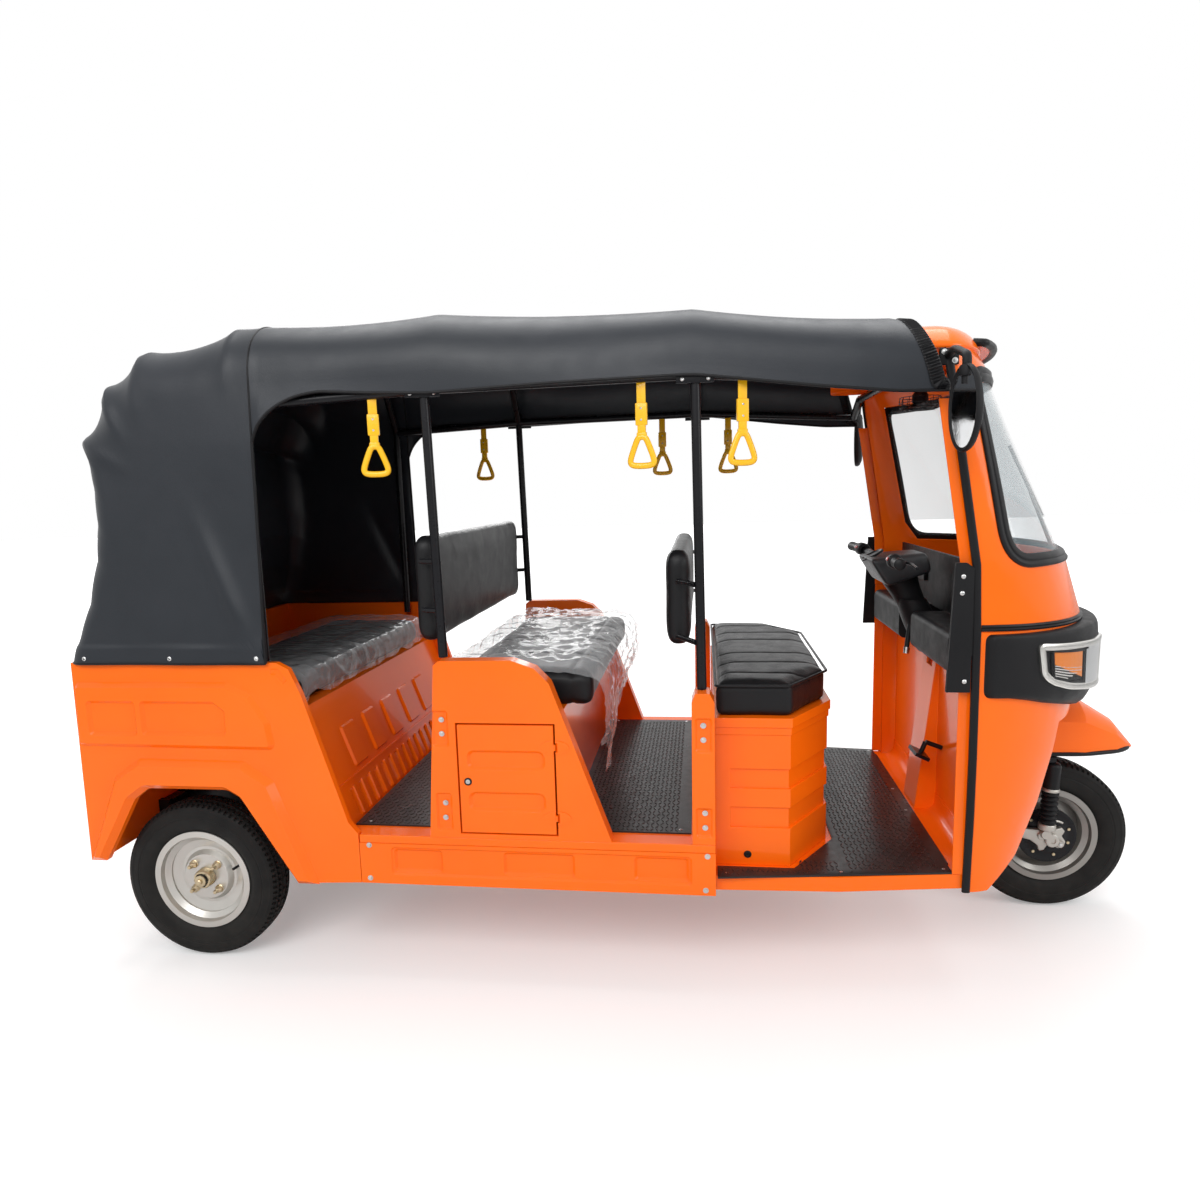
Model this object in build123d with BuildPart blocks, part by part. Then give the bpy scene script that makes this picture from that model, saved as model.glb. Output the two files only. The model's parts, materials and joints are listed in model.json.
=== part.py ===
from build123d import *
import os
from math import sqrt

os.makedirs("parts", exist_ok=True)

# Three-row passenger auto rickshaw: a covered three-wheeler, two wheels behind and one in front.
# Millimetres. +X is forward, +Y is the vehicle's left, +Z is up. The origin is on the ground under
# the middle of the outline. Pieces that come in pairs are drawn on the right (-Y) and mirrored.

# ---- driving dimensions -------------------------------------------------------------------------
LENGTH = 3490                       # tail panel to mudguard tip
TAIL_X = -LENGTH / 2
WHEELBASE = 2880
REAR_AXLE_X = TAIL_X + 335
FRONT_AXLE_X = REAR_AXLE_X + WHEELBASE
TYRE_R = 270                        # 4.50-12 tyre
TYRE_W = 112
RIM_R = 170                         # flange radius of a 12 inch rim
RIM_W = 88
WHEEL_Y = 545                       # half the rear track
AXLE_Z = TYRE_R
BODY_HALF = 660                     # outer faces of the side panels
SKIN = 22                           # body wall, outer panel with its inner flange
SHEET = 4                           # single pressed sheets

FLOOR_Z = 481                       # passenger floor, top of the sheet
CAB_FLOOR_Z = 366                   # one step lower
SILL_BOTTOM_Z = 322
TUB_TOP_Z = 1030
STEP_X = REAR_AXLE_X + 1706         # where the passenger floor drops to the cab floor
POST_Y = 606
POST_R = 14
REAR_POST_X = REAR_AXLE_X + 880
FRONT_POST_X = REAR_AXLE_X + 1660
HEM_Z = 1838                        # rail under the canopy's side hem

# ---- small helpers ------------------------------------------------------------------------------
SIDES = (-1, 1)


def rods(runs, radius):
    """Straight round bars between pairs of points, joined where they meet."""
    bars = []
    for start, end in runs:
        start, end = Vector(*start), Vector(*end)
        line = end - start
        with BuildPart() as bar:
            with BuildSketch(Plane(origin=start, z_dir=line)):
                Circle(radius)
            extrude(amount=line.length)
        bars.append(bar.part)
    return bars


def side_plate(outline, y_low, y_high, corner=0):
    """A flat plate drawn in side view (X, Z) between two Y planes."""
    with BuildPart() as plate:
        with BuildSketch(Plane(origin=(0, y_high, 0), x_dir=(1, 0, 0), z_dir=(0, -1, 0))) as sk:
            with BuildLine():
                Polyline(*outline, close=True)
            make_face()
            if corner:
                fillet(sk.vertices(), corner)
        extrude(amount=y_high - y_low)
    return plate.part


def pressed(outline, face_y, depth, corner):
    """A form pressed inwards from a right-hand face, its walls sloped at 45 degrees."""
    with BuildPart() as form:
        with BuildSketch(Plane(origin=(0, face_y, 0), x_dir=(-1, 0, 0), z_dir=(0, 1, 0))) as sk:
            with BuildLine():
                Polyline(*[(-x, z) for x, z in outline], close=True)
            make_face()
            fillet(sk.vertices(), corner)
        extrude(amount=depth, taper=45)
    return form.part


def raised(outline, face_y, height, corner):
    """A form pressed outwards from a right-hand face, its walls sloped at 45 degrees."""
    with BuildPart() as form:
        with BuildSketch(Plane(origin=(0, face_y, 0), x_dir=(1, 0, 0), z_dir=(0, -1, 0))) as sk:
            with BuildLine():
                Polyline(*outline, close=True)
            make_face()
            fillet(sk.vertices(), corner)
        extrude(amount=height, taper=45)
    return form.part


def from_axle(outline):
    """A side view outline measured from the rear axle."""
    return [(REAR_AXLE_X + x, z) for x, z in outline]


def oblong(x_low, x_high, z_low, z_high):
    """A rectangle in side view, measured from the rear axle."""
    return from_axle(((x_low, z_low), (x_high, z_low), (x_high, z_high), (x_low, z_high)))


def both_sides(piece):
    """The right-hand piece and its mirror image."""
    return [piece, piece.mirror(Plane.XZ)]


# ---- wheels -------------------------------------------------------------------------------------
BEAD_R = 154
LUG_PCD = 120
LUG_COUNT = 4
STUB_R = 18                         # axle stub that each hub turns on
HUB_R = 32
DRUM_R = 96
DRUM_DEPTH = 45


def wheel_plane(x, y, out):
    """Revolve plane of a wheel: sketch x runs out to the dished face, sketch y is the radius."""
    return Plane(origin=(x, y, AXLE_Z), x_dir=(0, out, 0), z_dir=(-out, 0, 0))


def make_rim(x, y, out, dish):
    """Pressed steel rim with its dished disc, lug studs, hub and brake drum."""
    half = RIM_W / 2
    plane = wheel_plane(x, y, out)
    drum = dish - 10 - DRUM_DEPTH
    with BuildPart() as rim:
        with BuildSketch(plane):
            with BuildLine():
                Polyline(
                    (-half, RIM_R), (-half, BEAD_R), (-half + 16, BEAD_R - 3), (-half + 24, BEAD_R - 20),
                    (half - 30, BEAD_R - 20), (half - 18, BEAD_R - 3), (half - 4, BEAD_R), (half - 4, RIM_R),
                    (half, RIM_R), (half, BEAD_R - 4), (half - 15, BEAD_R - 8), (half - 27, BEAD_R - 25),
                    (dish + 5, BEAD_R - 25), (dish - 4, 100), (dish - 4, 90), (dish + 12, 78),
                    (dish + 12, HUB_R), (dish + 34, HUB_R - 4), (dish + 34, STUB_R + 0.3), (drum, STUB_R + 0.3),
                    (drum, HUB_R), (dish - 18, HUB_R), (dish - 18, DRUM_R - 9), (drum, DRUM_R - 9), (drum, DRUM_R),
                    (dish - 10, DRUM_R), (dish - 10, 102), (dish - 1, BEAD_R - 25), (-half + 21, BEAD_R - 25),
                    (-half + 11, BEAD_R - 8), (-half - 4, BEAD_R - 4), (-half - 4, RIM_R), close=True)
            make_face()
        revolve(axis=Axis(plane.origin, plane.x_dir))
        face = Plane(origin=plane.from_local_coords((dish + 10, 0, 0)), x_dir=(1, 0, 0), z_dir=plane.x_dir)
        with BuildSketch(face):
            with PolarLocations(LUG_PCD / 2, LUG_COUNT, start_angle=45):
                RegularPolygon(10, 6)
        extrude(amount=14)
        with BuildSketch(face):
            with PolarLocations(LUG_PCD / 2, LUG_COUNT, start_angle=45):
                Circle(6)
        extrude(amount=26)
    return rim.part


def make_tyre(x, y, out):
    """Tyre carcass seated between the rim flanges, open towards the rim."""
    half = TYRE_W / 2
    bead = RIM_W / 2 - 4.3
    seat = BEAD_R + 0.3
    plane = wheel_plane(x, y, out)
    with BuildPart() as tyre:
        with BuildSketch(plane):
            with BuildLine():
                Polyline((bead, seat), (bead, RIM_R), (half, RIM_R + 42), (half - 4, TYRE_R - 26))
                ThreePointArc((half - 4, TYRE_R - 26), (half - 14, TYRE_R - 9), (half - 24, TYRE_R - 5))
                ThreePointArc((half - 24, TYRE_R - 5), (0, TYRE_R), (24 - half, TYRE_R - 5))
                ThreePointArc((24 - half, TYRE_R - 5), (14 - half, TYRE_R - 9), (4 - half, TYRE_R - 26))
                Polyline(
                    (4 - half, TYRE_R - 26), (-half, RIM_R + 42), (-bead, RIM_R), (-bead, seat), (12 - bead, seat),
                    (12 - bead, RIM_R), (12 - half, RIM_R + 42), (22 - half, TYRE_R - 20), (half - 22, TYRE_R - 20),
                    (half - 12, RIM_R + 42), (bead - 12, RIM_R), (bead - 12, seat), (bead, seat))
            make_face()
        revolve(axis=Axis(plane.origin, plane.x_dir))
    return tyre.part


REAR_DISH = 6
FRONT_DISH = 14
WHEELS = (                          # name, x, y, side of the dished face, dish
    ("rear_right", REAR_AXLE_X, -WHEEL_Y, -1, REAR_DISH),
    ("rear_left", REAR_AXLE_X, WHEEL_Y, 1, REAR_DISH),
    ("front", FRONT_AXLE_X, 0, 1, FRONT_DISH),
)
for wheel, x, y, out, dish in WHEELS:
    with BuildPart() as rim:
        add(make_rim(x, y, out, dish))
    rim.part.label = wheel + "_rim"
    export_step(rim.part, "parts/" + rim.part.label + ".step")
    with BuildPart() as tyre:
        add(make_tyre(x, y, out))
    tyre.part.label = wheel + "_tyre"
    export_step(tyre.part, "parts/" + tyre.part.label + ".step")

# ---- chassis ------------------------------------------------------------------------------------
RAIL_Y = 240
RAIL_TOP = 455
RAIL_H = 70
RAIL_W = 40
RAIL_FRONT_X = STEP_X - 20
CAB_RAIL_TOP = CAB_FLOOR_Z - 8
CAB_RAIL_FRONT_X = REAR_AXLE_X + 2380
CROSS_MEMBERS = (TAIL_X + 62, REAR_AXLE_X + 560, REAR_AXLE_X + 1150, STEP_X - 45)

with BuildPart() as chassis_frame:
    with Locations(*[((TAIL_X + 36 + RAIL_FRONT_X) / 2, side * RAIL_Y, RAIL_TOP - RAIL_H / 2) for side in SIDES]):
        Box(RAIL_FRONT_X - TAIL_X - 36, RAIL_W, RAIL_H)
    with Locations(*[((RAIL_FRONT_X - 60 + CAB_RAIL_FRONT_X) / 2, side * RAIL_Y, CAB_RAIL_TOP - RAIL_H / 2) for side in SIDES]):
        Box(CAB_RAIL_FRONT_X - RAIL_FRONT_X + 60, RAIL_W, RAIL_H)
    with Locations(*[(RAIL_FRONT_X - 30, side * RAIL_Y, (RAIL_TOP + CAB_RAIL_TOP - RAIL_H) / 2) for side in SIDES]):
        Box(60, RAIL_W, RAIL_TOP - CAB_RAIL_TOP + RAIL_H)
    with Locations(*[(x, 0, RAIL_TOP - RAIL_H / 2) for x in CROSS_MEMBERS]):
        Box(50, 2 * RAIL_Y, RAIL_H - 20)
    with Locations((REAR_AXLE_X + 560, 0, RAIL_TOP - 20), (REAR_AXLE_X + 1150, 0, RAIL_TOP - 20), (STEP_X - 60, 0, RAIL_TOP - 20)):
        Box(40, 2 * (BODY_HALF - 40), 40)
    with Locations((REAR_AXLE_X + 2000, 0, CAB_RAIL_TOP - 30), (CAB_RAIL_FRONT_X - 30, 0, CAB_RAIL_TOP - 30)):
        Box(60, 2 * 499, 40)

# ---- rear axle, springs and power unit ----------------------------------------------------------
AXLE_R = 28
SPRING_Y = 360
SPRING_EYE_X = (REAR_AXLE_X - 280, REAR_AXLE_X + 420)
BACKPLATE_Y = WHEEL_Y - 75


def bar_y(x, z, y_low, y_high, radius):
    """A round bar parallel to the axles."""
    with BuildPart() as bar:
        with BuildSketch(Plane(origin=(x, y_high, z), x_dir=(1, 0, 0), z_dir=(0, -1, 0))):
            Circle(radius)
        extrude(amount=y_high - y_low)
    return bar.part


with BuildPart() as rear_axle:
    add(bar_y(REAR_AXLE_X, AXLE_Z, -BACKPLATE_Y, BACKPLATE_Y, AXLE_R))
    with Locations((REAR_AXLE_X, 0, AXLE_Z)):
        Sphere(95)
    for low, high, radius in ((-10, 2, DRUM_R + 4), (-10, 122, STUB_R)):
        bar = bar_y(REAR_AXLE_X, AXLE_Z, -BACKPLATE_Y - high, -BACKPLATE_Y - low, radius)
        add(both_sides(bar))
    with BuildSketch(Plane(origin=(REAR_AXLE_X, -WHEEL_Y - REAR_DISH - 35, AXLE_Z), x_dir=(1, 0, 0), z_dir=(0, -1, 0))):
        RegularPolygon(24, 6)
    extrude(amount=12)
    with BuildSketch(Plane(origin=(REAR_AXLE_X, WHEEL_Y + REAR_DISH + 35, AXLE_Z), x_dir=(1, 0, 0), z_dir=(0, 1, 0))):
        RegularPolygon(24, 6)
    extrude(amount=12)

with BuildPart() as leaf_springs:
    for side in SIDES:
        for i, (front, back) in enumerate(((420, 280), (260, 210), (150, 130))):
            z = AXLE_Z + AXLE_R + 22 - 8 * i
            with Locations((REAR_AXLE_X + (front - back) / 2, side * SPRING_Y, z)):
                Box(front + back, 50, 8)
        with Locations((REAR_AXLE_X, side * SPRING_Y, AXLE_Z + AXLE_R + 4.2)):
            Box(90, 60, 8)
        for x in SPRING_EYE_X:
            with Locations(Location((x, side * SPRING_Y, AXLE_Z + AXLE_R + 30), (90, 0, 0))):
                Cylinder(18, 56)
            with Locations((x, side * SPRING_Y, (RAIL_TOP + AXLE_Z + AXLE_R + 20) / 2)):
                Box(40, 20, RAIL_TOP - AXLE_Z - AXLE_R - 20)
            with Locations((x, side * (SPRING_Y + 10 + RAIL_Y + RAIL_W / 2) / 2, RAIL_TOP - 20)):
                Box(40, SPRING_Y + 10 - RAIL_Y - RAIL_W / 2, 30)

ENGINE_FRONT_X = REAR_AXLE_X + 470
with BuildPart() as engine_block:
    with Locations((ENGINE_FRONT_X - 170, 0, 430)):
        Box(300, 2 * (RAIL_Y - RAIL_W / 2) - 1, 330)
    fillet(engine_block.edges().filter_by(Axis.Z), 20)

# ---- floor --------------------------------------------------------------------------------------
FLOOR_REAR_X = REAR_AXLE_X + 560
CAB_FLOOR_FRONT_X = REAR_AXLE_X + 2440
CAB_FLOOR_HALF = (620, 606, 556)    # at the step, under the driver's seat front, at the shield

with BuildPart() as floor_pan:
    with Locations(((FLOOR_REAR_X + STEP_X) / 2, 0, FLOOR_Z - 13)):
        Box(STEP_X - FLOOR_REAR_X, 2 * BODY_HALF, 26)
    with BuildSketch(Plane.XY.offset(CAB_FLOOR_Z)):
        with BuildLine():
            Polyline((STEP_X, -CAB_FLOOR_HALF[0]), (REAR_AXLE_X + 2070, -CAB_FLOOR_HALF[1]), (CAB_FLOOR_FRONT_X, -CAB_FLOOR_HALF[2]),
                     (CAB_FLOOR_FRONT_X, CAB_FLOOR_HALF[2]), (REAR_AXLE_X + 2070, CAB_FLOOR_HALF[1]), (STEP_X, CAB_FLOOR_HALF[0]), close=True)
        make_face()
    extrude(amount=-46)
    with Locations(((STEP_X + CAB_FLOOR_FRONT_X - 60) / 2, 0, CAB_FLOOR_Z - 28)):
        Box(CAB_FLOOR_FRONT_X - 60 - STEP_X, 2 * 500, 40, mode=Mode.SUBTRACT)
    with Locations((STEP_X - 6, 0, (FLOOR_Z - 26 + CAB_RAIL_TOP) / 2)):
        Box(12, 2 * CAB_FLOOR_HALF[0], FLOOR_Z - 26 - CAB_RAIL_TOP)
    with Locations(*[(FLOOR_REAR_X + 20, side * BODY_HALF, FLOOR_Z - 13) for side in SIDES]):
        Box(42, 2 * SKIN + 2, 30, mode=Mode.SUBTRACT)

MAT = 5
with BuildPart() as floor_mats:
    with Locations(((FLOOR_REAR_X + STEP_X - 72) / 2, 0, FLOOR_Z + MAT / 2)):
        Box(STEP_X - 72 - FLOOR_REAR_X, 2 * (BODY_HALF - 70), MAT)
    with Locations((REAR_AXLE_X + 2250, 0, CAB_FLOOR_Z + MAT / 2)):
        Box(320, 2 * 500, MAT)

SILL_BAY = (700, 1636, 351, 443)    # the long recess, and the deeper bays in it, x and z
SILL_DEEP = ((709, 866), (1060, 1282), (1463, 1627))
SILL_TOP = FLOOR_Z - 26.2
SILL_OUTLINE = ((REAR_AXLE_X + 600, SILL_BOTTOM_Z), (STEP_X, SILL_BOTTOM_Z), (STEP_X, SILL_TOP), (REAR_AXLE_X + 600, SILL_TOP))
with BuildPart() as sill:
    add(side_plate(SILL_OUTLINE, -BODY_HALF, -BODY_HALF + 30))
    add(pressed(oblong(*SILL_BAY), -BODY_HALF, 6, 14), mode=Mode.SUBTRACT)
    for start, end in SILL_DEEP:
        bay = oblong(start, end, SILL_BAY[2] + 8, SILL_BAY[3] - 8)
        add(pressed(bay, -BODY_HALF + 6, 8, 12), mode=Mode.SUBTRACT)

with BuildPart() as side_sills:
    add(both_sides(sill.part))

# ---- rear tub -----------------------------------------------------------------------------------
FLARE = 22
TUB_OUTLINE = from_axle(((-325, TUB_TOP_Z), (372, TUB_TOP_Z), (410, 1010), (443, 934), (568, 520), (598, FLOOR_Z + 2),
                         (598, SILL_BOTTOM_Z), (385, 312), (213, 593), (171, 618), (-100, 618), (-154, 580), (-280, 365),
                         (-335, 365)))
FLARE_OUTER = ((-334, 366), (-213, 656), (-121, 717), (238, 714), (330, 652), (458, 311))
FLARE_INNER = ((386, 311), (213, 593), (171, 618), (-100, 618), (-154, 580), (-278, 366))
BELT_PANEL = ((-320, 966), (205, 968), (283, 930), (336, 842), (348, 752), (-329, 756))
BELT_RISE = 14
BELT_BAYS = (                       # pressed into the belt panel
    ((-278, 795), (-108, 795), (-108, 910), (-278, 910)),
    ((-92, 798), (194, 798), (197, 880), (158, 910), (-92, 910)),
)
CORNER_BEAD = ((350, 1012), (378, 1012), (404, 974), (390, 962), (366, 992), (350, 994))

with BuildPart() as tub_side:
    add(side_plate(TUB_OUTLINE, -BODY_HALF, -BODY_HALF + SKIN))
    with BuildSketch(Plane(origin=(0, -BODY_HALF, 0), x_dir=(1, 0, 0), z_dir=(0, -1, 0))) as arch:
        with BuildLine():
            Polyline(*from_axle(FLARE_OUTER), *from_axle(FLARE_INNER), close=True)
        make_face()
        fillet(arch.vertices().sort_by(Axis.Y)[-8:], 30)
    extrude(amount=FLARE, taper=40)
    add(raised(from_axle(BELT_PANEL), -BODY_HALF, BELT_RISE, 20))
    for bay in BELT_BAYS:
        add(pressed(from_axle(bay), -BODY_HALF - BELT_RISE, 10, 15), mode=Mode.SUBTRACT)
    add(pressed(from_axle(CORNER_BEAD), -BODY_HALF, 3, 4), mode=Mode.SUBTRACT)

with BuildPart() as rear_side_panels:
    add(both_sides(tub_side.part))

HOUSING_INNER_Y = 440
PLATE_Z = 560                       # number plate holes in the tail panel
PLATE_SPACING = 160
PLATE_HOLE_R = 3.5
TAIL_BAY = (860, 230)               # recess pressed into the tail panel
with BuildPart() as tail_panel:
    with Locations((TAIL_X + SKIN / 2 + 12, 0, (TUB_TOP_Z + 365) / 2)):
        Box(SKIN, 2 * (BODY_HALF - SKIN) - 1, TUB_TOP_Z - 365)
    with BuildSketch(Plane(origin=(TAIL_X + 12, 0, 850), x_dir=(0, -1, 0), z_dir=(1, 0, 0))):
        RectangleRounded(TAIL_BAY[0], TAIL_BAY[1], 40)
    extrude(amount=9, taper=40, mode=Mode.SUBTRACT)
    with Locations(Location((TAIL_X + SKIN / 2 + 12, 0, PLATE_Z), (0, 90, 0))):
        with GridLocations(1, PLATE_SPACING, 1, 2):
            Hole(PLATE_HOLE_R)

BENCH_Z = 866
BENCH_HALF = BODY_HALF - SKIN - 1
BENCH_TOP_X = REAR_AXLE_X + 408
BENCH_FOOT_X = REAR_AXLE_X + 556
RISER_PADS = (-383, -213, -43, 127, 297)
PAD_W = 104
LOUVRE_TOP = 285                    # ledge above the louvres, down the slope of the riser
LOUVRE_Y = [-512 + 63 * i for i in range(17)]
with BuildPart() as rear_seat_base:
    shell = side_plate(((TAIL_X + SKIN + 13, BENCH_Z), (BENCH_TOP_X, BENCH_Z), (BENCH_FOOT_X, FLOOR_Z - 26), (BENCH_FOOT_X - 14, FLOOR_Z - 26),
                        (BENCH_TOP_X - 12, BENCH_Z - 14), (TAIL_X + SKIN + 13, BENCH_Z - 14)), -BENCH_HALF, BENCH_HALF)
    add(shell)
    slope = Vector(BENCH_FOOT_X - BENCH_TOP_X, 0, FLOOR_Z - 26 - BENCH_Z).normalized()
    riser = Plane(origin=(BENCH_TOP_X, 0, BENCH_Z), x_dir=(0, 1, 0), z_dir=(-slope.Z, 0, slope.X))
    with BuildSketch(riser):
        for y in RISER_PADS:
            with Locations((y, -190)):
                RectangleRounded(PAD_W, 150, 12)
    extrude(amount=8, taper=40)
    with BuildSketch(riser):
        with Locations((0, -LOUVRE_TOP)):
            Rectangle(2 * BENCH_HALF - 40, 8)
    extrude(amount=4)
    with BuildSketch(riser.offset(-20)):
        with Locations(*[(y, -LOUVRE_TOP - 75) for y in LOUVRE_Y]):
            RectangleRounded(20, 96, 9)
    extrude(amount=24, mode=Mode.SUBTRACT)
    with BuildSketch(riser):
        with Locations(*[(y + 20, -LOUVRE_TOP - 75) for y in LOUVRE_Y]):
            RectangleRounded(18, 104, 8)
    extrude(amount=5, taper=35)

# ---- seats --------------------------------------------------------------------------------------
with BuildPart() as rear_seat_cushion:
    with Locations((REAR_AXLE_X + 170, 0, BENCH_Z + 52)):
        Box(440, 2 * 560, 102)
    fillet(rear_seat_cushion.edges().filter_by(Axis.Y).group_by(Axis.Z)[-1], 30)

MIDDLE_BOX = from_axle(((833, FLOOR_Z + 0.2), (872, 1022), (889, 1036), (1111, 1038), (1179, 1014), (1223, 968),
                        (1398, FLOOR_Z + 0.2)))
BOX_WALL = 50
DOOR_X = (REAR_AXLE_X + 931, REAR_AXLE_X + 1236)
DOOR_Z = (FLOOR_Z + 14, 846)
DOOR_GAP = 5.5
BOLT_PADS = ((770, 884), (503, 625))
HINGE_Z = (774, 553)
HINGE_REACH = 44
HINGE_T = 3
HINGE_X = DOOR_X[1] - DOOR_GAP / 2
HINGE_Y = -BODY_HALF - 4
KNUCKLE_R = 4
KNUCKLE_H = 9                       # half the height of a knuckle
KNUCKLE_GAP = 5.3


def hinge_leaf(z, x_low, x_high):
    """The part of a hinge's oval cover between two x."""
    with BuildPart() as leaf:
        with BuildSketch(Plane(origin=(HINGE_X, -BODY_HALF + 1, z), x_dir=(1, 0, 0), z_dir=(0, -1, 0))):
            Ellipse(HINGE_REACH, 21)
        extrude(amount=HINGE_T + 1)
        with Locations(((x_low + x_high) / 2, -BODY_HALF, z)):
            Box(x_high - x_low, 40, 60, mode=Mode.INTERSECT)
    return leaf.part


with BuildPart() as box_side:
    add(side_plate(MIDDLE_BOX, -BODY_HALF, -BODY_HALF + BOX_WALL))
    for z_low, z_high in BOLT_PADS:
        add(pressed(oblong(857, 909, z_low, z_high), -BODY_HALF, 7, 10), mode=Mode.SUBTRACT)
    with Locations(((DOOR_X[0] + DOOR_X[1]) / 2, -BODY_HALF, (DOOR_Z[0] + DOOR_Z[1]) / 2)):
        Box(DOOR_X[1] - DOOR_X[0], 4 * BOX_WALL, DOOR_Z[1] - DOOR_Z[0], mode=Mode.SUBTRACT)
    for z in HINGE_Z:
        add(hinge_leaf(z, DOOR_X[1], DOOR_X[1] + HINGE_REACH))
    with Locations(*[(HINGE_X, HINGE_Y, z) for z in HINGE_Z]):
        Cylinder(KNUCKLE_R + KNUCKLE_GAP, 2 * (KNUCKLE_H + KNUCKLE_GAP), mode=Mode.SUBTRACT)

with BuildPart() as middle_side_panels:
    add(both_sides(box_side.part))

DOOR_T = 20
DOOR_RIBS = ((962, 1203, 700, 762), (962, 1202, 570, 631))
for name, side in (("right", -1), ("left", 1)):
    with BuildPart() as box_door:
        with Locations(((DOOR_X[0] + DOOR_X[1]) / 2, side * (BODY_HALF - DOOR_T / 2 + 1), (DOOR_Z[0] + DOOR_Z[1]) / 2)):
            Box(DOOR_X[1] - DOOR_X[0] - 2 * DOOR_GAP, DOOR_T, DOOR_Z[1] - DOOR_Z[0] - 2 * DOOR_GAP)
        for rib in DOOR_RIBS:
            form = pressed(oblong(*rib), -BODY_HALF - 1, 9, 24)
            add(form if side < 0 else form.mirror(Plane.XZ), mode=Mode.SUBTRACT)
        for z in HINGE_Z:
            leaf = hinge_leaf(z, DOOR_X[1] - DOOR_GAP - HINGE_REACH, DOOR_X[1] - DOOR_GAP)
            add(leaf if side < 0 else leaf.mirror(Plane.XZ))
        with Locations(*[(HINGE_X, -side * HINGE_Y, z) for z in HINGE_Z]):
            Cylinder(KNUCKLE_R, 2 * KNUCKLE_H)
    box_door.part.label = "box_door_" + name
    export_step(box_door.part, "parts/" + box_door.part.label + ".step")

MIDDLE_SEAT_Z = 868
MIDDLE_SEAT_X = (REAR_AXLE_X + 880, REAR_AXLE_X + 1250)
with BuildPart() as middle_seat_base:
    inner = 2 * (BODY_HALF - BOX_WALL - 0.5)
    with Locations(((MIDDLE_SEAT_X[0] + MIDDLE_SEAT_X[1]) / 2, 0, (MIDDLE_SEAT_Z + FLOOR_Z + MAT) / 2)):
        Box(MIDDLE_SEAT_X[1] - MIDDLE_SEAT_X[0], inner, MIDDLE_SEAT_Z - FLOOR_Z - MAT)
        Box(MIDDLE_SEAT_X[1] - MIDDLE_SEAT_X[0] - 24, inner + 10, MIDDLE_SEAT_Z - FLOOR_Z - MAT - 24, mode=Mode.SUBTRACT)

with BuildPart() as middle_seat_cushion:
    with Locations((REAR_AXLE_X + 1110, 0, MIDDLE_SEAT_Z + 56)):
        Box(480, 2 * 560, 110)
    fillet(middle_seat_cushion.edges().filter_by(Axis.Y).group_by(Axis.Z)[-1], 30)

with BuildPart() as backrest_pads:
    with Locations((REAR_AXLE_X + 825, 0, 1242)):
        Box(70, 2 * 575, 345)
    with Locations((REAR_AXLE_X + 1600, 0, 1195)):
        Box(70, 2 * 500, 310)
    crowns = backrest_pads.edges().filter_by(Axis.X).filter_by(lambda edge: edge.center().Z > 1300)
    fillet(crowns, 55)

PILLAR_PADS = ((764, 868), (503, 596))
PILLAR_OUTLINE = ((STEP_X - 68, FLOOR_Z + 0.2), (STEP_X, FLOOR_Z + 0.2), (STEP_X, 912), (STEP_X - 14, 940),
                  (STEP_X - 56, 940), (STEP_X - 66, 912))
with BuildPart() as pillar:
    add(side_plate(PILLAR_OUTLINE, -BODY_HALF, -BODY_HALF + 80))
    for z_low, z_high in PILLAR_PADS:
        add(pressed(oblong(1648, 1699, z_low, z_high), -BODY_HALF, 7, 10), mode=Mode.SUBTRACT)

with BuildPart() as b_pillars:
    add(both_sides(pillar.part))

SEAT_BOX_TOP = 838
SEAT_BOX_PLAN = ((STEP_X + 1, -545), (REAR_AXLE_X + 1933, -545), (REAR_AXLE_X + 2072, -335), (REAR_AXLE_X + 2072, 335),
                 (REAR_AXLE_X + 1933, 545), (STEP_X + 1, 545))
SEAT_BOX_RIM = ((784, 808, 4), (808, SEAT_BOX_TOP, 9))      # z from, to, step outwards
SEAT_BOX_RIBS = ((489, 554), (614, 676))
SEAT_BOX_WALL = 14


def seat_box_band(z_low, z_high, grow):
    """The seat box's plan between two heights, grown outwards."""
    with BuildPart() as band:
        with BuildSketch(Plane.XY.offset(z_low)):
            with BuildLine():
                Polyline(*SEAT_BOX_PLAN, close=True)
            make_face()
            if grow:
                offset(amount=grow, kind=Kind.INTERSECTION)
        extrude(amount=z_high - z_low)
        with Locations((STEP_X - 49, 0, z_low)):
            Box(100, 1400, 4000, mode=Mode.SUBTRACT)
    return band.part


with BuildPart() as rib_bands:
    for z_low, z_high in SEAT_BOX_RIBS:
        add(seat_box_band(z_low, z_high, 5))
        add(seat_box_band(z_low, z_high, -8), mode=Mode.SUBTRACT)
    with Locations((REAR_AXLE_X + 1653, 0, 600)):
        Box(200, 1400, 600, mode=Mode.SUBTRACT)

with BuildPart() as driver_seat_box:
    add(seat_box_band(CAB_FLOOR_Z + 0.2, SEAT_BOX_TOP, 0))
    for rim in SEAT_BOX_RIM:
        add(seat_box_band(*rim))
    add(seat_box_band(CAB_FLOOR_Z, SEAT_BOX_TOP - SEAT_BOX_WALL, -SEAT_BOX_WALL), mode=Mode.SUBTRACT)
    add(rib_bands.part, mode=Mode.SUBTRACT)
    with Locations((STEP_X + 8, 0, (CAB_FLOOR_Z + SEAT_BOX_TOP) / 2)):
        Box(14, 1090, SEAT_BOX_TOP - CAB_FLOOR_Z - 0.4)

with BuildPart() as driver_seat_cushion:
    with BuildSketch(Plane.XY.offset(SEAT_BOX_TOP + 0.5)):
        with BuildLine():
            Polyline(*SEAT_BOX_PLAN, close=True)
        make_face()
        offset(amount=8)
    extrude(amount=105)
    fillet(driver_seat_cushion.edges().group_by(Axis.Z)[-1], 18)

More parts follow.
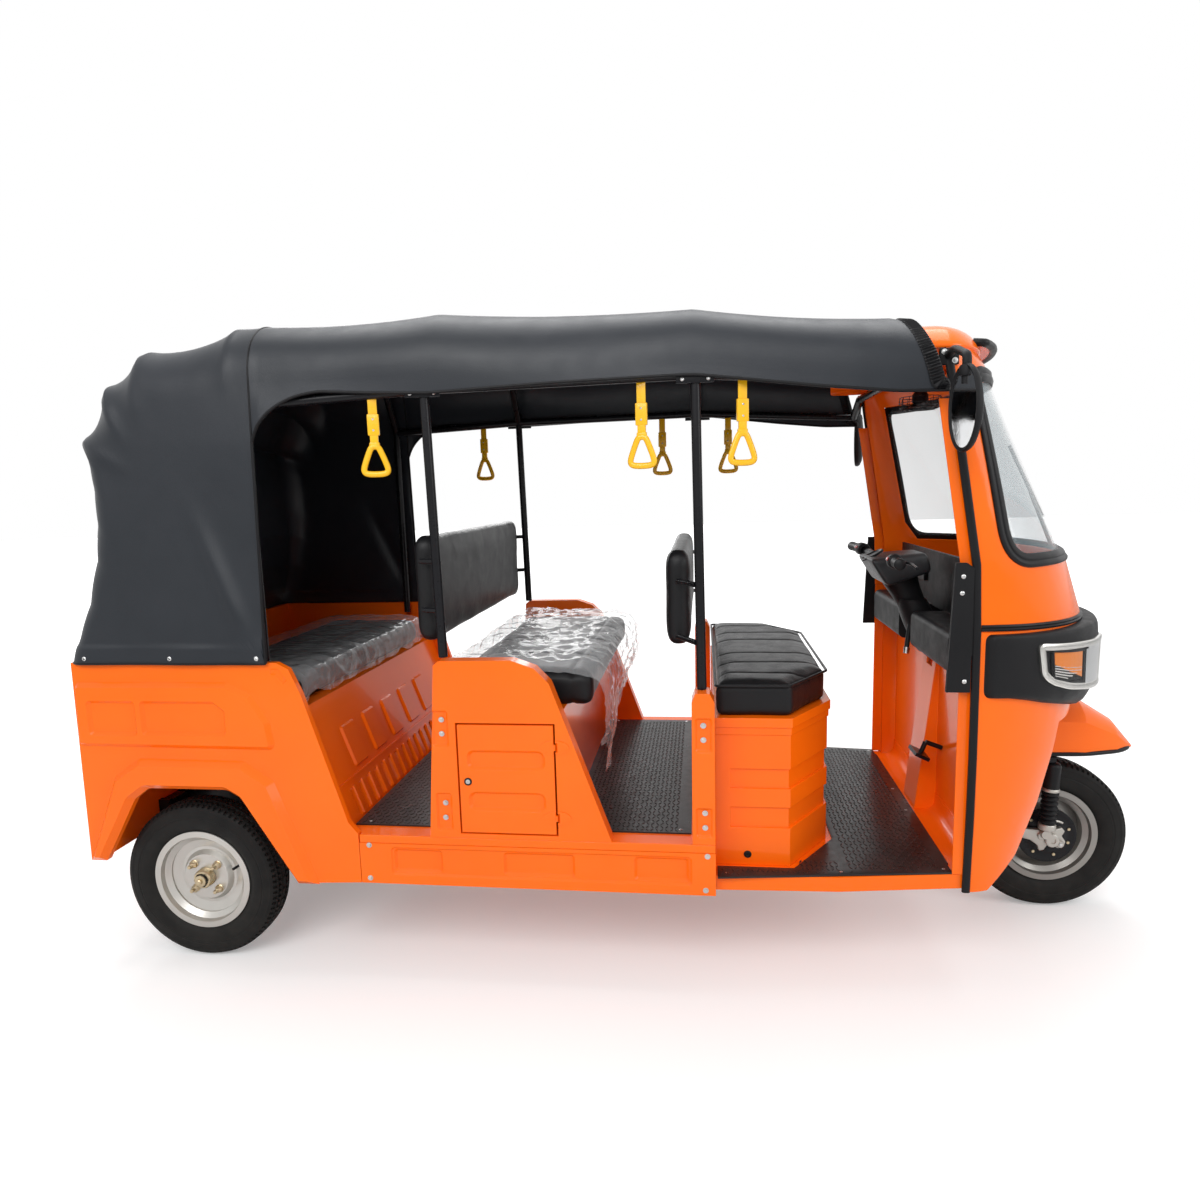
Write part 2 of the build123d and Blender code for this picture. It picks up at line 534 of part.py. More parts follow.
# ---- cab ----------------------------------------------------------------------------------------
SHIELD = (                          # height, rear edge x, half-width, nose depth
    (310, 2440, 560, 290),
    (560, 2440, 572, 395),
    (720, 2440, 575, 440),
    (1100, 2438, 575, 468),
    (1290, 2432, 572, 410),
    (1840, 2345, 565, 222),
    (1890, 2338, 560, 190),
)
BELT_Z = 1100


def nose_section(z, edge_x, half, depth, inset=0):
    """Half an ellipse in plan, closed along the shield's rear edge."""
    with BuildSketch(Plane.XY.offset(z)) as section:
        with BuildLine():
            arc = EllipticalCenterArc((REAR_AXLE_X + edge_x, 0), depth - inset, half - inset, start_angle=-90, arc_size=180)
            Line(arc @ 1, arc @ 0)
        make_face()
    return section.sketch


def nose_solid(rows, inset=0):
    """The shield's form through a few heights, drawn in by an inset."""
    with BuildPart() as solid:
        loft([nose_section(*row, inset=inset) for row in rows], ruled=True)
    return solid.part


def shield_rows(z_low, z_high):
    """The rows of SHIELD between two heights, both included."""
    return [row for row in SHIELD if z_low <= row[0] <= z_high]


WINDOW = ((2415, 1828), (2512, 1362), (2560, 1292), (3000, 1292), (3000, 1828))
WINDOW_SEEN = ((2430, 1812), (2526, 1364), (2568, 1308), (3000, 1308), (3000, 1812))
ARCH = ((2500, 300), (2610, 400), (2672, 560), (2715, 722), (2735, 800), (3100, 800), (3100, 300))

upper_rows = shield_rows(BELT_Z, 1890)
lower_rows = shield_rows(310, BELT_Z)
window_cut = side_plate(from_axle(WINDOW), -700, 700)

JAMB_W = 38                         # folded jamb behind the shield's rear edge
JAMB_UPPER = ((2402, BELT_Z + 0.5), (2441, BELT_Z + 0.5), (2435, 1290), (2361, 1752), (2361 - JAMB_W, 1752),
              (2396, 1290))
JAMB_LOWER = ((2441 - JAMB_W, CAB_FLOOR_Z + 0.5), (2441, CAB_FLOOR_Z + 0.5), (2441, BELT_Z), (2441 - JAMB_W, BELT_Z))

with BuildPart() as nose_upper:
    add(nose_solid(upper_rows))
    add(nose_solid(upper_rows, SKIN), mode=Mode.SUBTRACT)
    add(window_cut, mode=Mode.SUBTRACT)
    add(both_sides(side_plate(from_axle(JAMB_UPPER), -562, -557)))

with BuildPart() as nose_lower:
    add(nose_solid(lower_rows))
    add(nose_solid(lower_rows, SKIN), mode=Mode.SUBTRACT)
    add(side_plate(from_axle(ARCH), -700, 700), mode=Mode.SUBTRACT)
    add(both_sides(side_plate(from_axle(JAMB_LOWER), -562, -557)))

with BuildPart() as windscreen:
    add(nose_solid(upper_rows, 7))
    add(nose_solid(upper_rows, 13), mode=Mode.SUBTRACT)
    add(side_plate(from_axle(WINDOW_SEEN), -700, 700), mode=Mode.INTERSECT)

CAP = ((1892, 2336, 558, 200), (1960, 2325, 520, 190), (2010, 2318, 430, 120))
with BuildPart() as cab_roof:
    add(nose_solid(CAP))
    add(nose_solid([(1892, 2336, 558, 200), (1955, 2325, 520, 190), (1995, 2318, 430, 120)], 14), mode=Mode.SUBTRACT)
    with BuildSketch(Plane.XY.offset(1925)):
        with BuildLine():
            arc = EllipticalCenterArc((REAR_AXLE_X + 2340, 0), 285, 545, start_angle=-60, arc_size=120)
            back = EllipticalCenterArc((REAR_AXLE_X + 2340, 0), 185, 530, start_angle=-60, arc_size=120)
            Line(arc @ 0, back @ 0)
            Line(arc @ 1, back @ 1)
        make_face()
    extrude(amount=12)

# ---- steering axis ------------------------------------------------------------------------------
STEER_TOP = (REAR_AXLE_X + 2345, 1250)
RAKE = 0.466                        # rearward lean of the steering axis, run over rise
STEM_R = 20
HEAD_R = 32


def steer_x(z):
    """Where the steering axis passes a height."""
    return STEER_TOP[0] + RAKE * (STEER_TOP[1] - z)


# ---- inside the cab -----------------------------------------------------------------------------
INNER_X = REAR_AXLE_X + 2490
INNER_HALF = 528
TRAY_Z = (960, 1085)
TRAY_X = REAR_AXLE_X + 2388
with BuildPart() as cab_inner_panel:
    with Locations((INNER_X + 6, 0, (CAB_FLOOR_Z + TRAY_Z[0]) / 2)):
        Box(12, 2 * INNER_HALF, TRAY_Z[0] - CAB_FLOOR_Z)
        Box(12, 2 * 60, TRAY_Z[0] - CAB_FLOOR_Z, mode=Mode.SUBTRACT)
    tunnel = ((INNER_X - 72, CAB_FLOOR_Z), (INNER_X + 6, CAB_FLOOR_Z), (INNER_X + 6, TRAY_Z[0]), (INNER_X - 6, TRAY_Z[0]))
    add(side_plate(tunnel, -75, 75))
    hollow = ((INNER_X - 62, CAB_FLOOR_Z - 2), (INNER_X + 16, CAB_FLOOR_Z - 2), (INNER_X + 16, TRAY_Z[0] + 2), (INNER_X + 4, TRAY_Z[0] + 2))
    add(side_plate(hollow, -65, 65), mode=Mode.SUBTRACT)
    with Locations((INNER_X, 0, TRAY_Z[0] - 40)):
        Box(60, 64, 82, mode=Mode.SUBTRACT)

with BuildPart() as head_tube:
    low, high = 600, 830
    axis_plane = Plane(origin=(steer_x(low), 0, low), z_dir=(-RAKE, 0, 1))
    length = (high - low) * sqrt(1 + RAKE ** 2)
    with BuildSketch(axis_plane):
        Circle(HEAD_R)
        Circle(STEM_R + 0.3, mode=Mode.SUBTRACT)
    extrude(amount=length)
    add(side_plate(((INNER_X + 30, 640), (steer_x(640) - 28, 640), (steer_x(740) - 28, 740), (INNER_X + 30, 740)), -6, 6))
    with Locations((INNER_X + 12.2 + 10, 0, 690)):
        Box(20, 200, 110)

with BuildPart() as dashboard:
    tray = ((TRAY_X, TRAY_Z[0]), (INNER_X + 60, TRAY_Z[0]), (INNER_X + 60, TRAY_Z[1]), (TRAY_X, TRAY_Z[1]))
    add(side_plate(tray, -500, 500, corner=22))
    with Locations((TRAY_X + 20, 0, 1020)):
        Box(260, 2 * 80, 200, mode=Mode.SUBTRACT)
    with Locations((INNER_X + 15, 0, 1180)):
        Box(10, 2 * 520, 200)

with BuildPart() as edge_plates:
    plate = side_plate(from_axle(((2360, 930), (2425, 930), (2425, 1285), (2405, 1300), (2375, 1300))), -590, -578)
    add(both_sides(plate))

BEZEL = ((800, 2445, 590, 500), (935, 2450, 592, 525), (1060, 2450, 592, 525), (1088, 2450, 588, 500))
BEZEL_REAR = ((2400, 780), (2790, 780), (2480, 925), (2474, 940), (2474, 1080), (2484, 1100), (2400, 1100))
with BuildPart() as headlamp_bezel:
    add(nose_solid(BEZEL))
    add(nose_solid([(790, 2440, 575.5, 454), (BELT_Z, 2438, 575.5, 468.5)]), mode=Mode.SUBTRACT)
    add(side_plate(from_axle(BEZEL_REAR), -700, 700), mode=Mode.SUBTRACT)

with BuildPart() as headlamps:
    lamp = nose_solid([(870, 2450, 600, 536), (1040, 2450, 602, 540)])
    inner = nose_solid([(860, 2450, 594, 528), (1050, 2450, 594, 528)])
    add(lamp)
    add(inner, mode=Mode.SUBTRACT)
    with Locations((REAR_AXLE_X + 2850, 325, 955), (REAR_AXLE_X + 2850, -325, 955)):
        Box(400, 260, 150, mode=Mode.INTERSECT)

with BuildPart() as mirrors:
    with BuildSketch(Plane(origin=(REAR_AXLE_X + 2350, -715, 1712), x_dir=(0, 1, 0), z_dir=(-1, 0, 0))):
        Ellipse(68, 115)
    extrude(amount=26)
    arm = rods((((REAR_AXLE_X + 2338, -715, 1810), (REAR_AXLE_X + 2338, -715, 1862)), ((REAR_AXLE_X + 2338, -722, 1858), (REAR_AXLE_X + 2345, -569, 1872))), 8)
    add(arm)
    mirror(about=Plane.XZ)

with BuildPart() as brake_pedal:
    add(rods((((INNER_X - 6, -150, 620), (INNER_X - 60, -150, 640)), ((INNER_X - 60, -150, 640), (INNER_X - 75, -150, 600))), 8))
    with Locations(Location((INNER_X - 80, -150, 600), (0, 25, 0))):
        Box(50, 90, 12)

with BuildPart() as tail_lamps:
    with Locations(*[(TAIL_X + 6.8, side * 560, 800) for side in SIDES]):
        Box(10, 90, 180)

# ---- canopy frame, canopy and straps ------------------------------------------------------------
ROOF = ((-290, 1735), (-165, 1890), (-45, 1990), (270, 2055), (900, 2066), (1656, 2036), (2255, 1968), (2330, 1880))
SEAM_X = REAR_AXLE_X + 337
CANOPY_END_X = REAR_AXLE_X + 2330
CANOPY_T = 4
HEM_LINE = ((2330, 1768), (2205, 1772), (1656, 1838), (900, 1822), (560, 1842), (440, 1810), (350, 1712), (345, TUB_TOP_Z))


def canopy_profile(inset):
    """The roof's side view, as wide as the body, drawn in by an inset."""
    top = [(REAR_AXLE_X + x, z) for x, z in ROOF]
    base = [(CANOPY_END_X, 1700), (CANOPY_END_X, 900), (TAIL_X + 20, 900), (TAIL_X + 20, TUB_TOP_Z + 10),
            (REAR_AXLE_X - 262, 1240)]
    with BuildPart() as solid:
        with BuildSketch(Plane.XZ.offset(-720)):
            with BuildLine():
                Polyline(*top, *base, close=True)
            make_face()
            if inset:
                offset(amount=-inset, kind=Kind.INTERSECTION)
        extrude(amount=1440)
    return solid.part


def canopy_across(inset):
    """The canopy's front view, as long as the body: leaning sides, round shoulders, cambered roof."""
    half = BODY_HALF + 8 - inset
    eave = 632 - inset
    with BuildPart() as solid:
        with BuildSketch(Plane.YZ.offset(-2000)):
            with BuildLine():
                Polyline((-half, 880), (-half, TUB_TOP_Z), (-eave, 1860))
                ThreePointArc((-eave, 1860), (-590 + inset, 1985 - inset), (-470, 2062 - inset))
                ThreePointArc((-470, 2062 - inset), (0, 2092 - inset), (470, 2062 - inset))
                ThreePointArc((470, 2062 - inset), (590 - inset, 1985 - inset), (eave, 1860))
                Polyline((eave, 1860), (half, TUB_TOP_Z), (half, 880), (-half, 880))
            make_face()
        extrude(amount=4000)
    return solid.part


def canopy_solid(inset):
    """Roof profile and cross section crossed into one form."""
    with BuildPart() as solid:
        add(canopy_profile(inset))
        add(canopy_across(inset), mode=Mode.INTERSECT)
    return solid.part


with BuildPart() as canopy:
    add(canopy_solid(0))
    add(canopy_solid(CANOPY_T), mode=Mode.SUBTRACT)
    hem = [(REAR_AXLE_X + x, z) for x, z in HEM_LINE]
    add(side_plate([(CANOPY_END_X + 50, 1768), *hem, (hem[-1][0], 800), (CANOPY_END_X + 50, 800)], -800, 800), mode=Mode.SUBTRACT)
    with Locations((REAR_AXLE_X, 0, 900)):
        Box(1200, 2000, 2 * (TUB_TOP_Z - 900) + 2, mode=Mode.SUBTRACT)
    with Locations((CANOPY_END_X, 0, 1900)):
        Box(30, 2 * 560, 400, mode=Mode.SUBTRACT)

BOW_Y = 560
with BuildPart() as canopy_frame:
    runs = []
    for side in SIDES:
        y = side * POST_Y
        runs += [
            ((REAR_POST_X + 8, y, TUB_TOP_Z + 8), (REAR_POST_X - 6, y, HEM_Z)),
            ((FRONT_POST_X + 10, y, 942), (FRONT_POST_X, y, HEM_Z + 8)),
            ((SEAM_X - 30, y, HEM_Z - 30), (REAR_POST_X - 6, y, HEM_Z - 6)),
            ((REAR_POST_X - 6, y, HEM_Z - 6), (FRONT_POST_X, y, HEM_Z + 2)),
            ((FRONT_POST_X, y, HEM_Z + 2), (CANOPY_END_X - 20, y, 1800)),
            ((SEAM_X - 30, y, TUB_TOP_Z - 40), (SEAM_X - 30, y, HEM_Z - 30)),
        ]
    for x in (SEAM_X - 30, REAR_POST_X - 6, FRONT_POST_X, CANOPY_END_X - 20):
        low = {SEAM_X - 30: HEM_Z - 30, REAR_POST_X - 6: HEM_Z - 6, FRONT_POST_X: HEM_Z + 2, CANOPY_END_X - 20: 1800}[x]
        top = 2010 if x < CANOPY_END_X - 100 else 1860
        runs += [((x, -POST_Y, low), (x, -480, top)), ((x, -480, top), (x, 480, top)), ((x, 480, top), (x, POST_Y, low))]
    add(rods(runs, POST_R))
    for side in SIDES:
        for low, high, back, end in ((1180, 1330, REAR_AXLE_X + 825, 584), (1080, 1250, FRONT_POST_X - 60, 508)):
            for z in (low, high):
                add(rods([((back, side * end, z), (back + 55, side * POST_Y, z))], 8))

HANDLE_X = (REAR_AXLE_X + 713, REAR_AXLE_X + 1508, REAR_AXLE_X + 1790)
with BuildPart() as grab_handles:
    for x in HANDLE_X:
        with BuildSketch(Plane(origin=(x, -POST_Y - 3, HEM_Z), x_dir=(1, 0, 0), z_dir=(0, -1, 0))):
            with Locations((0, -85)):
                Rectangle(32, 90)
            with BuildLine():
                Polyline((-14, -120), (14, -120), (50, -232), (36, -250), (-36, -250), (-50, -232), close=True)
            make_face()
            with BuildLine():
                Polyline((-8, -145), (8, -145), (32, -226), (-32, -226), close=True)
            make_face(mode=Mode.SUBTRACT)
        extrude(amount=-10)
    mirror(about=Plane.XZ)

# ---- steering, front suspension and mudguard ----------------------------------------------------
CROWN_Z = 575
ARM_Y = -106
LINK_PIVOT = (REAR_AXLE_X + 2730, 300)
with BuildPart() as steering_stem:
    foot = (steer_x(CROWN_Z), 0, CROWN_Z)
    axis_plane = Plane(origin=foot, z_dir=(-RAKE, 0, 1))
    with BuildSketch(axis_plane):
        Circle(STEM_R)
    extrude(amount=(1180 - CROWN_Z) * sqrt(1 + RAKE ** 2))
    with BuildSketch(axis_plane.offset(-20)):
        Circle(30)
    extrude(amount=36)
    add(rods((((foot[0], 0, CROWN_Z - 6), (foot[0] + 20, ARM_Y, 560)), ((foot[0] + 20, ARM_Y, 560), (LINK_PIVOT[0], ARM_Y, LINK_PIVOT[1])),
              ((foot[0] + 20, ARM_Y, 560), (FRONT_AXLE_X - 12, ARM_Y, 572))), 16))

with BuildPart() as handlebar:
    with Locations(Location((STEER_TOP[0] - 5, 0, 1235), (0, -20, 0))):
        Box(150, 230, 110)
    fillet(handlebar.edges(), 20)
    for side in SIDES:
        add(rods((((STEER_TOP[0] + 10, side * 60, 1262), (STEER_TOP[0] - 40, side * 260, 1275)),
                  ((STEER_TOP[0] - 40, side * 260, 1275), (STEER_TOP[0] - 72, side * 395, 1278))), 15))

with BuildPart() as swing_arm:
    add(bar_y(FRONT_AXLE_X, AXLE_Z, -52, -42, DRUM_R + 4))
    add(bar_y(FRONT_AXLE_X, AXLE_Z, -100, 30, STUB_R))
    add(rods((((LINK_PIVOT[0], -75, LINK_PIVOT[1]), (FRONT_AXLE_X - 1, -75, AXLE_Z + 1)),), 12))
    add(bar_y(LINK_PIVOT[0], LINK_PIVOT[1], -87, -60, 22))

with BuildPart() as spring_damper:
    add(rods((((FRONT_AXLE_X - 24, -99, 292), (FRONT_AXLE_X - 16, -99, 400)),), 16))
    add(rods((((FRONT_AXLE_X - 19, -99, 380), (FRONT_AXLE_X - 12, -99, 550)),), 28))

MUDGUARD = ((2720, 118, 720), (2850, 122, 776), (2960, 118, 768), (3080, 80, 690), (3155, 22, 600))
MUDGUARD_HEM_Z = 592


def mudguard_section(x, half, top, inset):
    """Arched cross section of the mudguard above its level hem."""
    with BuildSketch(Plane(origin=(REAR_AXLE_X + x, 0, 0), x_dir=(0, 1, 0), z_dir=(1, 0, 0))) as section:
        w = half - inset
        z = top - inset
        with BuildLine():
            Polyline((-w, z - 0.55 * w), (-w, MUDGUARD_HEM_Z - 30), (w, MUDGUARD_HEM_Z - 30), (w, z - 0.55 * w))
            ThreePointArc((w, z - 0.55 * w), (0, z), (-w, z - 0.55 * w))
        make_face()
    return section.sketch


def mudguard_solid(rows, inset):
    """The mudguard's form through its sections, drawn in by an inset."""
    with BuildPart() as solid:
        loft([mudguard_section(*row, inset) for row in rows], ruled=True)
    return solid.part


with BuildPart() as front_mudguard:
    add(mudguard_solid(MUDGUARD, 0))
    add(mudguard_solid([(x - 6 * (x > 3100), half, top) for x, half, top in MUDGUARD], 4), mode=Mode.SUBTRACT)
    with Locations((FRONT_AXLE_X, 0, MUDGUARD_HEM_Z - 50)):
        Box(800, 400, 100, mode=Mode.SUBTRACT)

with BuildPart() as cab_fan:
    add(rods((((REAR_AXLE_X + 2420, 0, 1862), (REAR_AXLE_X + 2420, 0, 1830)),), 12))
    with Locations((REAR_AXLE_X + 2420, 0, 1800)):
        Cylinder(70, 60)

with BuildPart() as wiper:
    add(rods((((REAR_AXLE_X + 2862, 0, 1305), (REAR_AXLE_X + 2790, 0, 1480)), ((REAR_AXLE_X + 2830, 0, 1400), (REAR_AXLE_X + 2715, 0, 1640))), 6))

for name, piece in {
    "chassis_frame": chassis_frame, "rear_axle": rear_axle, "leaf_springs": leaf_springs, "engine_block": engine_block,
    "floor_pan": floor_pan, "floor_mats": floor_mats, "side_sills": side_sills, "rear_side_panels": rear_side_panels,
    "tail_panel": tail_panel, "rear_seat_base": rear_seat_base, "rear_seat_cushion": rear_seat_cushion,
    "middle_side_panels": middle_side_panels, "middle_seat_base": middle_seat_base,
    "middle_seat_cushion": middle_seat_cushion, "backrest_pads": backrest_pads, "b_pillars": b_pillars,
    "driver_seat_box": driver_seat_box, "driver_seat_cushion": driver_seat_cushion, "nose_upper": nose_upper,
    "nose_lower": nose_lower, "windscreen": windscreen, "cab_roof": cab_roof, "cab_inner_panel": cab_inner_panel,
    "head_tube": head_tube, "dashboard": dashboard, "edge_plates": edge_plates, "headlamp_bezel": headlamp_bezel,
    "headlamps": headlamps, "mirrors": mirrors, "brake_pedal": brake_pedal, "tail_lamps": tail_lamps,
    "canopy_frame": canopy_frame, "canopy": canopy, "grab_handles": grab_handles, "cab_fan": cab_fan, "wiper": wiper,
    "steering_stem": steering_stem, "handlebar": handlebar, "swing_arm": swing_arm, "spring_damper": spring_damper,
    "front_mudguard": front_mudguard,
}.items():
    piece.part.label = name
    export_step(piece.part, "parts/" + name + ".step")
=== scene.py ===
"""Three-row passenger auto rickshaw: finishes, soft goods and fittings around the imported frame."""
import json
import logging
import math
from contextlib import contextmanager
from dataclasses import dataclass
from enum import Enum
from typing import Callable, Iterable, Iterator, Sequence

import bmesh
import bpy
from mathutils import Matrix, Vector, noise

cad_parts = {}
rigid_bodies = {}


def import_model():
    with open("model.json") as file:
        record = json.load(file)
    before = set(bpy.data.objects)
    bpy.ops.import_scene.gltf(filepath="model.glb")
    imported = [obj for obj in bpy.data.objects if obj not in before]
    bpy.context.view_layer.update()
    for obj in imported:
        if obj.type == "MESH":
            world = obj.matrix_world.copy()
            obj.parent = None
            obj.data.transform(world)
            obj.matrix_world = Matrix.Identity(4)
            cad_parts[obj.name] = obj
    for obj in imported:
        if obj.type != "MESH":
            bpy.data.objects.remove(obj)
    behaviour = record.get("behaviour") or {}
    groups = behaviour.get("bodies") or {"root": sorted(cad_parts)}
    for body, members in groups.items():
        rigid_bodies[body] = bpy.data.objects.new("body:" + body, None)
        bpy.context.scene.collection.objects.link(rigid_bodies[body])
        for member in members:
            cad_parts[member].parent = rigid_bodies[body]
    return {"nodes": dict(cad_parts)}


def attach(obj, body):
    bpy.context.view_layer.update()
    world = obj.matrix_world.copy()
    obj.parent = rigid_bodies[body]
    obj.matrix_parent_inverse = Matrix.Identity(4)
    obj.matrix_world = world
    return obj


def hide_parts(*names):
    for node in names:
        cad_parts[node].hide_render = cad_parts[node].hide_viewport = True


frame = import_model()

LOG = logging.getLogger("rickshaw")
Point = tuple[float, float, float]
Pair = tuple[float, float]
Four = tuple[float, float, float, float]
Object = bpy.types.Object
Socket = bpy.types.NodeSocket
AXLE_X = -1.410          # rear axle, row frame
WHEELBASE = 2.880
TRACK_HALF = 0.545
WHEEL_Z = 0.270
SWELL_FRAMES = 20        # length of the pads' cloth run
SIDES = (-1, 1)


class Body(str, Enum):
    """The moving bodies that a piece can ride on."""

    SHELL = "body"
    STEERING = "steering"
    FRONT_WHEEL = "front_wheel"
    REAR_RIGHT = "rear_wheel_right"
    REAR_LEFT = "rear_wheel_left"
    DOOR_RIGHT = "storage_door_right"
    DOOR_LEFT = "storage_door_left"


# ---- finishes -----------------------------------------------------------------------------------
class Shader:
    """One material's node tree, with short ways to add and join its nodes."""

    def __init__(self, name: str) -> None:
        """Starts a material that has only its principled shader and object coordinates.

        Args:
            name: The material's name.
        """
        self.material = bpy.data.materials.new(name)
        self.material.use_nodes = True
        self.tree = self.material.node_tree
        self.tree.nodes.clear()
        self.out = self.node("ShaderNodeOutputMaterial")
        self.bsdf = self.node("ShaderNodeBsdfPrincipled")
        self.link(self.bsdf.outputs["BSDF"], self.out.inputs["Surface"])
        self.place = self.node("ShaderNodeTexCoord").outputs["Object"]

    def node(self, kind: str, **fields: object) -> bpy.types.Node:
        """Adds a node.

        Args:
            kind: The node's Blender type.
            **fields: Its settings, by attribute name.

        Returns:
            The new node.
        """
        made = self.tree.nodes.new(kind)
        for key, value in fields.items():
            setattr(made, key, value)
        return made

    def link(self, source: Socket, target: Socket) -> None:
        """Joins an output to an input."""
        self.tree.links.new(source, target)

    def noise(self, scale: float, detail: float = 4.0, stretch: Point = (1, 1, 1)) -> Socket:
        """A noise pattern in object space.

        Args:
            scale: Cells per metre.
            detail: Octaves.
            stretch: Factor on each axis, before the noise.

        Returns:
            The noise value's socket.
        """
        mapping = self.node("ShaderNodeMapping")
        mapping.inputs["Scale"].default_value = stretch
        self.link(self.place, mapping.inputs["Vector"])
        made = self.node("ShaderNodeTexNoise")
        made.inputs["Scale"].default_value = scale
        made.inputs["Detail"].default_value = detail
        self.link(mapping.outputs["Vector"], made.inputs["Vector"])
        return made.outputs["Fac"]

    def cells(self, scale: float, feature: str = "DISTANCE_TO_EDGE") -> Socket:
        """A cell pattern in object space, as on grained vinyl or moulded plastic.

        Args:
            scale: Cells per metre.
            feature: The Voronoi feature that is read.

        Returns:
            The distance's socket.
        """
        made = self.node("ShaderNodeTexVoronoi", feature=feature)
        made.inputs["Scale"].default_value = scale
        self.link(self.place, made.inputs["Vector"])
        return made.outputs["Distance"]

    def ranged(self, source: Socket, low: float, high: float,
               start: float = 0.3, end: float = 0.7) -> Socket:
        """Maps a value from start..end to low..high, clamped.

        Args:
            source: The value.
            low: What it becomes at start.
            high: What it becomes at end.
            start: Lower end of the value.
            end: Upper end of the value.

        Returns:
            The result's socket.
        """
        made = self.node("ShaderNodeMapRange")
        for key, value in (("From Min", start), ("From Max", end), ("To Min", low), ("To Max", high)):
            made.inputs[key].default_value = value
        self.link(source, made.inputs["Value"])
        return made.outputs["Result"]

    def mixed(self, factor: Socket, low: object, high: object) -> Socket:
        """Mixes two colours, each a colour or a socket.

        Args:
            factor: How much of the second colour.
            low: The first colour.
            high: The second.

        Returns:
            The mixed colour's socket.
        """
        made = self.node("ShaderNodeMix", data_type="RGBA")
        self.link(factor, made.inputs["Factor"])
        for key, value in ((6, low), (7, high)):
            if isinstance(value, Socket):
                self.link(value, made.inputs[key])
            else:
                made.inputs[key].default_value = (*value, 1.0)
        return made.outputs[2]

    def bump(self, height: Socket, distance: float, strength: float = 1.0,
             below: Socket | None = None) -> Socket:
        """Turns a height into a normal, over another bump if there is one.

        Args:
            height: The height.
            distance: Metres that a height of 1 stands for.
            strength: How much of it shows.
            below: A normal that it lies on.

        Returns:
            The normal's socket.
        """
        made = self.node("ShaderNodeBump")
        made.inputs["Distance"].default_value = distance
        made.inputs["Strength"].default_value = strength
        self.link(height, made.inputs["Height"])
        if below is not None:
            self.link(below, made.inputs["Normal"])
        return made.outputs["Normal"]

    def set(self, **values: object) -> None:
        """Sets the principled shader's own sockets; underscores stand for spaces."""
        for key, value in values.items():
            self.bsdf.inputs[key.replace("_", " ")].default_value = value


class Grain(Enum):
    """How a surface is broken up close to."""

    PEEL = "peel"        # sprayed paint
    CAST = "cast"        # rough cast or powder coat
    SKIN = "skin"        # moulded plastic and vinyl
    WEAVE = "weave"      # coated cloth
    BRUSH = "brush"      # drawn or turned metal


@dataclass(frozen=True)
class Finish:
    """A procedural finish: two shades, a gloss range, a grain and the dust that settles low down."""

    name: str
    base: Point
    shade: Point
    rough: Pair = (0.3, 0.4)
    metal: float = 0.0
    coat: float = 0.0
    grain: Grain = Grain.PEEL
    grain_m: float = 0.0002
    grain_per_m: float = 400.0
    blotch_per_m: float = 3.0
    dust: float = 0.0
    sheen: float = 0.0
    spec: float = 0.3

    def material(self) -> bpy.types.Material:
        """Builds the finish once and reuses it.

        Returns:
            The node material.
        """
        known = bpy.data.materials.get(self.name)
        if known:
            return known
        s = Shader(self.name)
        colour = s.mixed(s.ranged(s.noise(self.blotch_per_m), 0, 1), self.base, self.shade)
        rough = s.ranged(s.noise(self.blotch_per_m * 7), *self.rough)
        if self.dust:
            split = s.node("ShaderNodeSeparateXYZ")
            s.link(s.place, split.inputs[0])
            low = s.ranged(split.outputs["Z"], self.dust, 0.0, 0.05, 0.75)
            speck = s.node("ShaderNodeMath", operation="MULTIPLY")
            s.link(low, speck.inputs[0])
            s.link(s.ranged(s.noise(26, 8), 0.25, 1.0, 0.35, 0.75), speck.inputs[1])
            colour = s.mixed(speck.outputs[0], colour, (0.33, 0.29, 0.24))
        s.link(colour, s.bsdf.inputs["Base Color"])
        s.link(rough, s.bsdf.inputs["Roughness"])
        s.link(self.relief(s), s.bsdf.inputs["Normal"])
        s.set(Metallic=self.metal, Coat_Weight=self.coat, Coat_Roughness=0.06, Sheen_Weight=self.sheen,
              Specular_IOR_Level=self.spec)
        return s.material

    def relief(self, s: Shader) -> Socket:
        """The grain's normal.

        Args:
            s: The shader that gets it.

        Returns:
            A normal socket.
        """
        if self.grain is Grain.SKIN:
            pits = s.ranged(s.cells(self.grain_per_m), 0, 1, 0.0, 0.12)
            return s.bump(pits, self.grain_m, 0.6, s.bump(s.noise(9, 3), 0.0006, 0.5))
        if self.grain is Grain.WEAVE:
            wave = s.node("ShaderNodeTexWave", wave_type="BANDS", bands_direction="DIAGONAL")
            wave.inputs["Scale"].default_value = self.grain_per_m
            s.link(s.place, wave.inputs["Vector"])
            return s.bump(wave.outputs["Fac"], self.grain_m, 0.5, s.bump(s.noise(220, 5), 0.0004, 0.6))
        if self.grain is Grain.BRUSH:
            return s.bump(s.noise(self.grain_per_m, 6, (1, 0.06, 1)), self.grain_m, 0.5)
        if self.grain is Grain.CAST:
            return s.bump(s.noise(self.grain_per_m, 8), self.grain_m, 0.8)
        return s.bump(s.noise(self.grain_per_m, 2), self.grain_m, 0.25)


